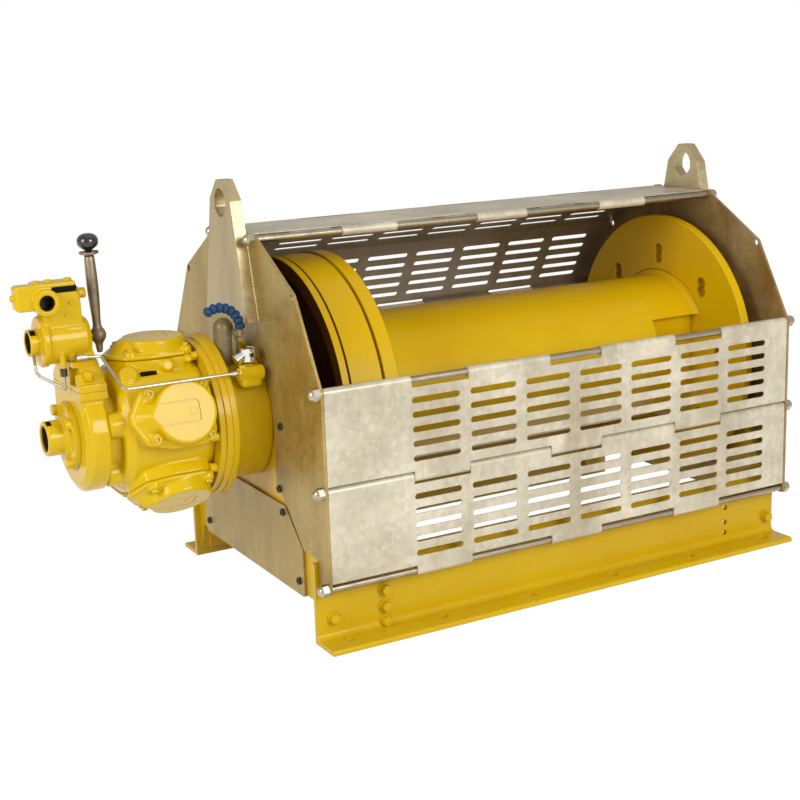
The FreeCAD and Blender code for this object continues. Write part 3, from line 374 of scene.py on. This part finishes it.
NODE_FINISH = {
    "sheet": ("front_lower_guard", "front_upper_guard", "top_guard", "rear_middle_guard", "rear_lower_guard"),
    "rear sheet": ("rear_upper_guard",),
    "left plate": ("left_guard_plate", "lower_cover"),
    "breather": ("breather_cap",),
    "right plate": ("right_guard_plate",),
    "lug": ("right_lifting_lug", "left_lifting_lug"),
    "plate": ("front_base_rail", "rear_base_rail", "left_upright", "right_upright", "band_anchor", "gear_case",
              "bearing_housing", "motor_flange", "brake_block"),
    "drum": ("drum_barrel", "drum_right_flange", "drum_left_flange", "brake_band"),
    "brake drum": ("brake_drum",),
    "casting": ("motor_case", "cylinder_heads", "distributor_housing", "exhaust_port", "valve_riser",
                "control_valve"),
    "rod": ("guard_rods",),
    "tube": ("pilot_line", "bleed_line"),
    "nut": ("rod_cap_nuts",),
    "chrome": ("brake_gauge",),
    "forged": ("lever_arm", "lever_collar"),
    "knob": ("lever_knob",),
    "hose": ("vent_hose",),
}
for finish, names in NODE_FINISH.items():
    for name in names:
        NODES[name].data.materials.clear()
        NODES[name].data.materials.append(MATERIALS[finish])


# Modelling helpers
def alone(piece):
    bpy.ops.object.select_all(action="DESELECT")
    piece.select_set(True)
    bpy.context.view_layer.objects.active = piece
    return piece


def settled(piece):
    # its place goes into its mesh, so the object is at the origin, unturned
    alone(piece)
    bpy.ops.object.transform_apply(location=True, rotation=True, scale=True)
    return piece


def primitive(kind, name, **values):
    bpy.ops.object.select_all(action="DESELECT")
    getattr(bpy.ops.mesh, "primitive_" + kind + "_add")(**values)
    piece = bpy.context.active_object
    piece.name = name
    return settled(piece)


def pick(piece, test):
    # opens the piece for editing with only the faces that pass the test selected
    alone(piece)
    bpy.ops.object.mode_set(mode="EDIT")
    bpy.ops.mesh.select_mode(type="FACE")
    bpy.ops.mesh.select_all(action="DESELECT")
    bpy.ops.object.mode_set(mode="OBJECT")
    for face in piece.data.polygons:
        face.select = test(face)
    bpy.ops.object.mode_set(mode="EDIT")


def close_edit():
    bpy.ops.object.mode_set(mode="OBJECT")


def modified(piece, kind, **values):
    alone(piece)
    modifier = piece.modifiers.new(kind.lower(), kind)
    for key, value in values.items():
        setattr(modifier, key, value)
    bpy.ops.object.modifier_apply(modifier=modifier.name)
    return piece


def rounded(piece, width, segments=2, angle=30.0):
    return modified(piece, "BEVEL", width=width, segments=segments, limit_method="ANGLE",
                    angle_limit=math.radians(angle), harden_normals=False)


def smooth_shaded(piece, angle=35.0):
    alone(piece)
    bpy.ops.object.shade_smooth_by_angle(angle=math.radians(angle))
    return piece


def joined(pieces, name):
    bpy.ops.object.select_all(action="DESELECT")
    for piece in pieces:
        piece.select_set(True)
    bpy.context.view_layer.objects.active = pieces[0]
    if len(pieces) > 1:
        bpy.ops.object.join()
    pieces[0].name = name
    return pieces[0]


def cast_skin(piece, voxel, rounds):
    # one skin over joined solids, its inner corners filled like a casting's
    modified(piece, "REMESH", mode="VOXEL", voxel_size=voxel)
    modified(piece, "SMOOTH", factor=0.5, iterations=rounds)
    alone(piece)
    bpy.ops.object.shade_smooth()
    return piece


def copy_of_node(node, name):
    source = NODES[node]
    piece = bpy.data.objects.new(name, source.data.copy())
    bpy.context.collection.objects.link(piece)
    piece.matrix_world = source.matrix_world
    settled(piece)
    bpy.ops.object.mode_set(mode="EDIT")
    bpy.ops.mesh.select_all(action="SELECT")
    bpy.ops.mesh.remove_doubles(threshold=1e-6)
    close_edit()
    return piece


def turned_form(name, rings, steps=32):
    # a round form about Z: a disc extruded ring by ring, each ring at its own radius
    bpy.ops.object.select_all(action="DESELECT")
    bpy.ops.mesh.primitive_circle_add(vertices=steps, radius=rings[0][1], fill_type="NGON",
                                      location=(0, 0, rings[0][0]))
    piece = settled(bpy.context.active_object)
    piece.name = name
    pick(piece, lambda f: True)
    for (z0, r0), (z1, r1) in zip(rings, rings[1:]):
        bpy.ops.mesh.extrude_region_move(TRANSFORM_OT_translate={"value": (0, 0, z1 - z0)})
        bpy.ops.transform.resize(value=(r1 / r0, r1 / r0, 1), center_override=(0, 0, z1))
    bpy.ops.mesh.select_all(action="SELECT")
    bpy.ops.mesh.normals_make_consistent(inside=False)
    close_edit()
    return piece


def soft_box(name, low, high, width, segments):
    # a box between two corners with its edges rounded
    middle = [(a + b) / 2 for a, b in zip(low, high)]
    piece = primitive("cube", name, size=1, location=middle, scale=[b - a for a, b in zip(low, high)])
    return smooth_shaded(rounded(piece, width, segments), 40)


def seated(piece, place):
    piece.data.transform(place)
    return piece


def dressed(piece, finish, body, slot, *nodes):
    piece.data.materials.clear()
    piece.data.materials.append(MATERIALS[finish])
    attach(piece, body)
    if nodes:
        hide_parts(*nodes)
    return piece


def standing(place, direction, spin=0.0):
    # takes the master's +Z to the direction, at the place
    turn = Z.rotation_difference(Vector(direction).normalized()).to_matrix().to_4x4()
    return Matrix.Translation(Vector(place)) @ turn @ Matrix.Rotation(math.radians(spin), 4, "Z")


def copies(master, name, places):
    # copies of one modelled piece at each place, joined; the master goes
    made = []
    for place in places:
        piece = bpy.data.objects.new(name, master.data.copy())
        bpy.context.collection.objects.link(piece)
        piece.data.transform(place)
        made.append(piece)
    bpy.data.objects.remove(master)
    return joined(made, name)


def about_drum(degrees):
    # a turn about the drum's axis
    up = Matrix.Translation((0, 0, AXIS_Z))
    return up @ Matrix.Rotation(math.radians(degrees), 4, "X") @ up.inverted()


# Fasteners, modelled once each
def hex_bolt(name, across, height, washer):
    # hexagon head on a flat washer
    disc = primitive("cylinder", name, vertices=24, radius=washer, depth=height * 0.25,
                     location=(0, 0, height * 0.125))
    head = primitive("cylinder", "head", vertices=6, radius=across / math.sqrt(3), depth=height,
                     location=(0, 0, height * 0.75))
    pick(head, lambda f: f.normal.z > 0.9)
    bpy.ops.mesh.inset(thickness=across * 0.09, depth=0)
    bpy.ops.transform.translate(value=(0, 0, height * 0.08))
    close_edit()
    return smooth_shaded(rounded(joined([disc, head], name), height * 0.06, 1), 30)


def socket_screw(name, radius, height):
    # round head with a hexagon socket
    head = primitive("cylinder", name, vertices=24, radius=radius, depth=height, location=(0, 0, height / 2))
    pick(head, lambda f: f.normal.z > 0.9)
    bpy.ops.mesh.inset(thickness=radius * 0.45, depth=0)
    bpy.ops.mesh.extrude_region_move(TRANSFORM_OT_translate={"value": (0, 0, -height * 0.55)})
    close_edit()
    return smooth_shaded(rounded(head, radius * 0.08, 2), 30)


# Motor castings
def outline_block(name, points, low, high):
    # a flat outline drawn in X and Y, then extruded upwards
    bpy.ops.object.select_all(action="DESELECT")
    bpy.ops.mesh.primitive_circle_add(vertices=len(points), radius=0.05, fill_type="NGON")
    piece = bpy.context.active_object
    piece.name = name
    for vertex, (x, y) in zip(piece.data.vertices, points):
        vertex.co = (x, y, low)
    pick(piece, lambda f: True)
    bpy.ops.mesh.extrude_region_move(TRANSFORM_OT_translate={"value": (0, 0, high - low)})
    bpy.ops.mesh.select_all(action="SELECT")
    bpy.ops.mesh.normals_make_consistent(inside=False)
    close_edit()
    return piece


def drum_disc(name, place, low_radius, high_radius, low, high, steps=64):
    # a disc between two heights that narrows upwards
    return primitive("cone", name, vertices=steps, radius1=low_radius, radius2=high_radius, depth=high - low,
                     location=(place[0], place[1], (low + high) / 2))


HEAD_HALF = [(-106, 8), (-80, 54), (-30, 66), (36, 66), (55, 58), (62, 40)]
HEAD_SEAT, LID_LOW, LID_HIGH = 0.139, 0.149, 0.1745
DISC_X = -0.003
HEAD_BOLTS = [(x * MM, s * y * MM) for x, y in ((-64, 44), (44, 49.5)) for s in (-1, 1)]


def head_points(shrink):
    half = [(x * (1 - shrink) * MM, y * (1 - shrink) * MM) for x, y in HEAD_HALF]
    return half + [(x, -y) for x, y in reversed(half)]


def bow(end, half, corner):
    # three sides of a field with two rounded corners, open at its left
    turn = [(end - corner + corner * math.sin(a), -half + corner - corner * math.cos(a))
            for a in (math.pi * k / 10 for k in range(6))]
    return [(-0.058, -half)] + turn + [(x, -y) for x, y in reversed(turn)] + [(-0.058, half)]


def build_heads():
    # lid of one cylinder, lying over the drum's axis, then turned to its five places
    flange = rounded(outline_block("lid", head_points(0.0), HEAD_SEAT + 0.001, LID_LOW), 0.004, 3, 40)
    step = rounded(outline_block("lid_step", head_points(0.10), LID_LOW - 0.002, LID_LOW + 0.004), 0.003, 2, 40)
    dome = drum_disc("lid_dome", (DISC_X, 0), 0.0650, 0.0610, LID_LOW - 0.004, LID_HIGH)
    dome = rounded(dome, 0.004, 3, 40)
    foot = [(-0.099, 0.008), (-0.084, 0.030), (-0.050, 0.036), (0.020, 0.036)]
    crest = [(-0.072, 0.003), (-0.062, 0.018), (-0.048, 0.028), (0.020, 0.028)]
    ring = [(x, -y) for x, y in foot] + foot[::-1]
    ridge = outline_block("lid_ridge", ring, LID_LOW - 0.002, LID_HIGH)
    crest = [(x, -y) for x, y in crest] + crest[::-1]
    for vertex in [v for v in ridge.data.vertices if v.co.z > LID_LOW]:
        vertex.co.x, vertex.co.y = crest[ring.index(min(ring, key=lambda p: math.dist(p, vertex.co.xy)))]
    ridge = rounded(ridge, 0.003, 3, 25)
    bosses = [drum_disc("lid_boss", place, 0.0130, 0.0112, LID_LOW - 0.002, LID_LOW + 0.0075, 32)
              for place in HEAD_BOLTS]
    lid = cast_skin(joined([flange, step, dome, ridge] + bosses, "cylinder_lid"), 0.0015, 3)
    # a groove round three sides of a flat field, with a small raised square in it
    groove = outline_block("groove", bow(0.0240, 0.0215, 0.008) + bow(0.0222, 0.0197, 0.0062)[::-1],
                           LID_HIGH - 0.0022, LID_HIGH + 0.004)
    modified(lid, "BOOLEAN", operation="DIFFERENCE", object=groove, solver="EXACT")
    bpy.data.objects.remove(groove)
    patch = outline_block("patch", [(0.003, -0.0065), (0.015, -0.0065), (0.015, 0.0065), (0.003, 0.0065)],
                          LID_HIGH - 0.002, LID_HIGH + 0.0012)
    lid = joined([smooth_shaded(lid, 50), smooth_shaded(rounded(patch, 0.0005, 1))], "cylinder_lid")
    lift = Matrix.Translation((MOTOR_X, 0, AXIS_Z))
    turns = [about_drum(360 * k / CYLINDERS) @ lift for k in range(CYLINDERS)]
    heads = copies(lid, "cylinder_lids", turns)
    dressed(heads, "casting", "frame", "yellow_paint", "cylinder_heads")
    screw = socket_screw("lid_screw", 0.0072, 0.007)
    seats = [turn @ Matrix.Translation((x, y, LID_LOW + 0.0065)) for turn in turns for x, y in HEAD_BOLTS]
    dressed(copies(screw, "lid_screws", seats), "casting", "frame", "yellow_paint")


def round_boss(name, place, direction, radius, tall):
    # a boss that stands on a casting, its foot sunk into it
    boss = turned_form(name, [(-0.02, radius * 1.08), (tall * 0.7, radius), (tall, radius * 0.86)])
    return seated(boss, standing([v * MM for v in place], direction))


CASE_BOSSES = (((-834, -60, 521.6), (0, -0.72, 0.69), 19, 10), ((-755, -62, 532.6), (0, -0.95, 0.3), 13, 9),
               ((-712, -62, 541), (0, -0.9, 0.4), 9, 7))


def build_castings():
    for node, name, voxel, rounds in (("motor_case", "motor_casting", 0.0024, 6),
                                      ("distributor_housing", "distributor_casting", 0.0020, 4),
                                      ("exhaust_port", "exhaust_casting", 0.0014, 3),
                                      ("valve_riser", "riser_casting", 0.0015, 3),
                                      ("control_valve", "valve_casting", 0.0014, 3)):
        casting = copy_of_node(node, name)
        if node == "motor_case":
            casting = joined([casting] + [round_boss("case_boss", a, b, r * MM, t * MM)
                                          for a, b, r, t in CASE_BOSSES], name)
        dressed(cast_skin(casting, voxel, rounds), "casting", "frame", "yellow_paint", node)
    # the elbow on the gear case that takes the pilot line and the gauge
    stem = soft_box("stem", (-0.634, -0.148, 0.4845), (-0.591, -0.096, 0.514), 0.008, 3)
    arm = seated(turned_form("arm", [(0, 0.0125), (0.052, 0.0145)]), standing((-0.639, -0.1375, 0.5115), X))
    seat = seated(turned_form("seat", [(-0.02, 0.015), (0.006, 0.013)]), standing((-0.607, -0.116, 0.521), Z))
    nub = seated(turned_form("nub", [(-0.02, 0.0085), (0.006, 0.008)]), standing((-0.6265, -0.134, 0.5225), Z))
    elbow = cast_skin(joined([stem, arm, seat, nub], "brake_elbow"), 0.0012, 4)
    dressed(elbow, "casting", "frame", "yellow_paint", "brake_block")


build_heads()
build_castings()


# Ports, tags and small fittings of the motor and its valve
SPOOL_Z, SUPPLY_Z = 0.598, 0.6766


def bore_liner(name, mouth, inward, radius, depth):
    # a dark sleeve with a closed end, a hair inside the port's wall: painted shade for the depth of the bore
    cup = turned_form(name, [(0, radius), (depth, radius)], 40)
    pick(cup, lambda f: f.normal.z < -0.9)
    bpy.ops.mesh.delete(type="FACE")
    close_edit()
    modified(cup, "SOLIDIFY", thickness=0.0009, offset=-1)
    return seated(smooth_shaded(cup), standing(mouth, inward))


def bare_tag(name, place, tilt, width, height):
    # a small plate with a raised border and nothing on it
    tag = primitive("cube", name, size=1, scale=(width, height, 0.0014))
    pick(tag, lambda f: f.normal.z > 0.9)
    bpy.ops.mesh.inset(thickness=0.0007, depth=0)
    bpy.ops.transform.translate(value=(0, 0, -0.0002))
    close_edit()
    turn = Matrix.Rotation(math.radians(tilt), 4, "X")
    return seated(smooth_shaded(rounded(tag, 0.0002, 1)), Matrix.Translation([v * MM for v in place]) @ turn)


def hex_collar(name, across, tall):
    collar = primitive("cylinder", name, vertices=6, radius=across / math.sqrt(3), depth=tall,
                       location=(0, 0, tall / 2))
    return smooth_shaded(rounded(collar, across * 0.06, 2), 30)


def build_ports():
    liners = [bore_liner("port_bore", (-1.0030, 0, SPOOL_Z), X, 0.0206, 0.050),
              bore_liner("supply_bore", (-0.972, -0.0430, SUPPLY_Z), Y, 0.0147, 0.037),
              bore_liner("exhaust_bore", (-0.9865, 0, AXIS_Z), X, 0.0256, 0.047)]
    dressed(joined(liners, "port_bores"), "bore", "frame", "forged_steel")
    tags = [bare_tag("valve_tag", (-935.5, -34.4, 698.5), 90, 0.047, 0.0115),
            bare_tag("case_tag", (-793.4, -63.6, 522.0), 63, 0.033, 0.0100),
            bare_tag("port_tag", (-998.0, -16.3, 619.4), 40, 0.010, 0.0120),
            bare_tag("exhaust_tag", (-983.0, -13.4, 441.2), 23, 0.009, 0.0130)]
    dressed(joined(tags, "bare_tags"), "tag", "frame", "black_plastic")
    screw = socket_screw("valve_screw", 0.0048, 0.0036)
    spots = ((-924, 672.8), (-933, 649), (-973, 646.6))
    places = [standing((x * MM, -0.0338, z * MM), -Y) for x, z in spots]
    dressed(copies(screw, "valve_screws", places), "casting", "frame", "yellow_paint")
    plug = hex_bolt("riser_bolt", 0.018, 0.012, 0.0125)
    places = [standing((-0.9145, s * 0.0715, 0.5285), Z, 12) for s in (-1, 1)]
    places.append(standing((-0.9055, -0.012, 0.685), X, 20))
    dressed(copies(plug, "riser_bolts", places), "casting", "frame", "yellow_paint")
    sleeve = seated(hex_collar("stem_nut", 0.0120, 0.015), standing((-0.951, -0.0385, 0.5338), Z, 12))
    dressed(sleeve, "dark screw", "frame", "forged_steel")
    ferrule = [seated(hex_collar("ferrule", 0.0095, 0.012), standing((-0.655, -0.151, 0.518), X)),
               seated(turned_form("ferrule_nose", [(0, 0.0036), (0.006, 0.0046)], 20),
                      standing((-0.6605, -0.151, 0.518), X))]
    dressed(joined(ferrule, "pilot_ferrule"), "nut", "frame", "bright_metal")
    union = seated(hex_collar("pilot_union", 0.0135, 0.007), standing((-0.6435, -0.151, 0.518), X, 15))
    dressed(union, "casting", "frame", "yellow_paint")


def build_gauge():
    body = turned_form("gauge_body", [(0, 0.0150), (0.0015, 0.0165), (0.0255, 0.0165), (0.027, 0.0150)], 48)
    pick(body, lambda f: f.normal.z > 0.9)
    bpy.ops.mesh.inset(thickness=0.0016, depth=0)
    bpy.ops.transform.translate(value=(0, 0, -0.0012))
    close_edit()
    body = seated(smooth_shaded(body), standing((-0.6075, -0.116, 0.5305), Z))
    ring = turned_form("gauge_ring", [(0, 0.0062), (0.003, 0.0062)], 32)
    pick(ring, lambda f: f.normal.z > 0.9)
    bpy.ops.mesh.inset(thickness=0.0014, depth=0)
    bpy.ops.mesh.extrude_region_move(TRANSFORM_OT_translate={"value": (0, 0, -0.0022)})
    close_edit()
    ring = seated(smooth_shaded(ring), standing((-0.6055, -0.1315, 0.5455), -Y))
    lean = Vector((-0.90, -0.10, -0.42))
    neck = seated(smooth_shaded(turned_form("gauge_neck", [(0, 0.0105), (0.012, 0.0105), (0.0125, 0.0120),
                  (0.0215, 0.0120), (0.0225, 0.0105)], 40)), standing((-0.6165, -0.118, 0.5440), lean))
    dressed(joined([body, ring, neck], "gauge_case"), "chrome", "frame", "bright_metal", "brake_gauge")
    face = seated(turned_form("gauge_face", [(0, 0.0046), (0.0008, 0.0044)], 28),
                  standing((-0.6055, -0.1324, 0.5455), -Y))
    dressed(smooth_shaded(face), "dark screw", "frame", "black_plastic")


HOSE_CENTRE = Vector((-0.6600, -0.108, 0.598))
HOSE_R, HOSE_BEADS, HOSE_FIRST, HOSE_PITCH = 0.0430, 8, 4.0, 16.5


def build_hose():
    bead = turned_form("hose_bead", [(-0.0064, 0.0058), (-0.0052, 0.0084), (-0.0022, 0.0104), (0.0016, 0.0106),
                                     (0.0046, 0.0090), (0.0060, 0.0066), (0.0080, 0.0060)], 24)
    smooth_shaded(modified(bead, "SUBSURF", levels=1, render_levels=1), 60)
    places = []
    for k in range(HOSE_BEADS):
        a = math.radians(HOSE_FIRST + HOSE_PITCH * k)
        out = Vector((math.cos(a), 0, math.sin(a)))
        places.append(standing(HOSE_CENTRE + HOSE_R * out, (-math.sin(a), 0, math.cos(a))))
    dressed(copies(bead, "hose_beads", places), "hose", "frame", "blue_plastic", "vent_hose")
    foot = HOSE_CENTRE.x + HOSE_R
    post = turned_form("hose_post", [(0, 0.0085), (0.006, 0.0085), (0.0065, 0.0068), (0.072, 0.0068),
                                     (0.078, 0.0045)])
    post = seated(post, standing((foot, -0.076, 0.512), Z))
    bend = seated(turned_form("hose_bend", [(0, 0.0060), (0.034, 0.0060), (0.037, 0.0040)]),
                  standing((foot, -0.072, 0.584), -Y))
    stub = seated(turned_form("hose_stub", [(0, 0.0062), (0.012, 0.0055)]), standing((foot, -0.108, 0.582), Z))
    dressed(smooth_shaded(joined([post, bend, stub], "hose_post")), "breather", "frame", "galvanised")


def build_lever():
    # the forged arm with its hub and tail, then the ball, on the arm's own leaning axis
    lean = Matrix.Translation((-0.867, 0, SPOOL_Z)) @ Matrix.Rotation(math.radians(-1.8), 4, "Y")
    arm = turned_form("lever_shaft", [
        (-0.0345, 0.0040), (-0.0330, 0.0062), (-0.0180, 0.0070), (-0.0145, 0.0088), (-0.0085, 0.0142),
        (0.0, 0.0165), (0.0085, 0.0142), (0.0140, 0.0094), (0.0180, 0.0080), (0.0320, 0.0080), (0.0620, 0.0104),
        (0.0980, 0.0114), (0.1280, 0.0108), (0.1530, 0.0100), (0.1552, 0.0088)], 32)
    arm = seated(smooth_shaded(modified(arm, "SUBSURF", levels=1, render_levels=1), 60), lean)
    spindle = turned_form("lever_spindle", [(0, 0.0078), (0.040, 0.0078), (0.0405, 0.0105), (0.046, 0.0105)])
    spindle = seated(spindle, standing((-0.913, 0, SPOOL_Z), X))
    forging = joined([arm, smooth_shaded(spindle)], "lever_forging")
    dressed(forging, "forged", "lever", "forged_steel", "lever_arm")
    ball = turned_form("lever_ball", [(0.1580, 0.0060), (0.1640, 0.0062), (0.1672, 0.0100), (0.1700, 0.0160),
                                      (0.1745, 0.0198), (0.1805, 0.0210), (0.1865, 0.0202), (0.1920, 0.0170),
                                      (0.1958, 0.0110), (0.1972, 0.0050)], 40)
    ball = seated(smooth_shaded(modified(ball, "SUBSURF", levels=2, render_levels=2), 80), lean)
    dressed(ball, "knob", "lever", "black_plastic", "lever_knob")


build_ports()
build_gauge()
build_hose()
build_lever()


# Bolts and screws on the frame
def build_fasteners():
    bolt = hex_bolt("rail_bolt", 0.019, 0.012, 0.014)
    web = -0.318
    places = [standing((x, web, z), -Y, 17 * i) for i, (x, z) in enumerate(
        ((-0.5459, 0.0495), (-0.433, 0.0846), (-0.433, 0.0501), (-0.433, 0.0187), (0.5607, 0.0467)))]
    places += [Matrix.Rotation(math.pi, 4, "Z") @ place for place in places]
    dressed(copies(bolt, "rail_bolts", places), "plate", "frame", "yellow_paint")
    screw = socket_screw("plate_screw", 0.0075, 0.005)
    spots = [(0.182, 0.407), (0.160, 0.275), (0.169, 0.229), (0.232, 0.104)]
    places = [standing((-PLATE_OUT, s * y, z), -X) for y, z in spots for s in (-1, 1)]
    places += [standing((PLATE_OUT, s * y, z), X) for y, z in spots[:2] for s in (-1, 1)]
    dressed(copies(screw, "plate_screws", places), "dark screw", "frame", "bright_metal")
    ring = hex_bolt("ring_bolt", 0.0165, 0.011, 0.0100)
    places = []
    for k in range(2 * CYLINDERS):
        a = math.radians(36 + 72 * (k // 2) + (14 if k % 2 else -14))
        spot = (-0.690, -0.1450 * math.sin(a), AXIS_Z + 0.1450 * math.cos(a))
        places.append(standing(spot, -X, 23 * k))
    dressed(copies(ring, "motor_flange_bolts", places), "casting", "frame", "yellow_paint")
    cap = hex_bolt("bearing_bolt", 0.019, 0.012, 0.0125)
    places = []
    for k in range(6):
        a = math.radians(30 + 60 * k)
        places.append(standing((0.588, 0.0975 * math.sin(a), AXIS_Z + 0.0975 * math.cos(a)), X, 31 * k))
    dressed(copies(cap, "bearing_bolts", places), "plate", "frame", "yellow_paint")


def weld_run(start, end, pitch):
    # places of the ripples of one weld from start to end
    start, end = Vector(start), Vector(end)
    count = max(2, round((end - start).length / pitch))
    return [standing(start.lerp(end, (k + 0.5) / count), end - start) for k in range(count)]


def build_welds():
    # lug edges on the end plates
    ripple = primitive("uv_sphere", "lug_welds", segments=8, ring_count=6, radius=1,
                       scale=(0.0034, 0.0034, 0.0042))
    smooth_shaded(ripple, 80)
    places = []
    for side_x in (-1, 1):
        x = side_x * (PLATE_OUT + 0.0006)
        for s in (-1, 1):
            places += weld_run((x, s * 0.1055, 0.606), (x, s * 0.0705, 0.758), 0.0052)
            places += weld_run((-x, s * 0.1055, 0.6030), (-x, s * 0.0020, 0.6030), 0.0052)
    dressed(copies(ripple, "lug_welds", places), "lug", "frame", "galvanised")


build_fasteners()
build_welds()


# Floor, backdrop and light: the backdrop is white to the camera, warm and dim on matt faces
FLOOR_GLOW, FLOOR_GLOW_SHARE = 1.12, 0.88
AMBIENT, MIRRORED, WARM = 0.34, 0.20, (1.0, 0.86, 0.62, 1)


def build_stage():
    bpy.ops.object.select_all(action="DESELECT")
    bpy.ops.mesh.primitive_plane_add(size=40, location=(0, 0, -0.0005))
    floor = settled(bpy.context.active_object)
    floor.name = "floor"
    paper = bpy.data.materials.new("floor paper")
    paper.use_nodes = True
    tree = paper.node_tree
    tree.nodes.clear()
    result = add_node(tree, "ShaderNodeOutputMaterial")
    matt = set_inputs(add_node(tree, "ShaderNodeBsdfDiffuse"), Color=(0.86, 0.855, 0.84, 1))
    glow = set_inputs(add_node(tree, "ShaderNodeEmission"), Color=(1, 1, 1, 1), Strength=FLOOR_GLOW)
    seen = add_node(tree, "ShaderNodeLightPath")
    rays = maths(tree, "MAXIMUM", seen.outputs["Is Camera Ray"], maths(
        tree, "MAXIMUM", seen.outputs["Is Glossy Ray"], seen.outputs["Is Transmission Ray"]))
    share = maths(tree, "MULTIPLY", rays, FLOOR_GLOW_SHARE)
    blend = add_node(tree, "ShaderNodeMixShader")
    wire(tree, share, blend.inputs[0])
    wire(tree, matt.outputs[0], blend.inputs[1])
    wire(tree, glow.outputs[0], blend.inputs[2])
    wire(tree, blend.outputs[0], result.inputs["Surface"])
    floor.data.materials.append(paper)


def build_world():
    world = bpy.data.worlds.new("studio")
    bpy.context.scene.world = world
    world.use_nodes = True
    tree = world.node_tree
    tree.nodes.clear()
    result = add_node(tree, "ShaderNodeOutputWorld")
    back = set_inputs(add_node(tree, "ShaderNodeBackground"), Color=(1, 1, 1, 1))
    seen = add_node(tree, "ShaderNodeLightPath")
    plain = maths(tree, "MAXIMUM", seen.outputs["Is Camera Ray"], seen.outputs["Is Transmission Ray"])
    extra = maths(tree, "ADD", maths(tree, "MULTIPLY", plain, 1.0 - AMBIENT), maths(
        tree, "MULTIPLY", seen.outputs["Is Glossy Ray"], MIRRORED))
    wire(tree, maths(tree, "ADD", AMBIENT, extra), back.inputs["Strength"])
    white = maths(tree, "MAXIMUM", plain, seen.outputs["Is Glossy Ray"])
    wire(tree, mixed(tree, white, WARM, (1, 1, 1, 1)), back.inputs["Color"])
    wire(tree, back.outputs[0], result.inputs["Surface"])


def add_lamp(name, place, target, width, height, watts, colour=(1.0, 0.98, 0.95)):
    lamp = bpy.data.lights.new(name, "AREA")
    lamp.shape = "RECTANGLE"
    lamp.size, lamp.size_y, lamp.energy, lamp.color = width, height, watts, colour
    holder = bpy.data.objects.new(name, lamp)
    bpy.context.collection.objects.link(holder)
    holder.matrix_world = standing(place, Vector(place) - Vector(target))


build_stage()
build_world()
add_lamp("key", (0.3, -3.7, 1.9), (-0.1, 0, 0.4), 1.8, 1.6, 86)
add_lamp("left fill", (-3.4, -0.9, 1.7), (0.1, 0, 0.4), 1.6, 1.4, 54, (1.0, 0.90, 0.72))
add_lamp("overhead", (-0.2, -0.4, 3.4), (0, 0, 0.4), 2.6, 1.6, 7)

bpy.context.view_layer.update()
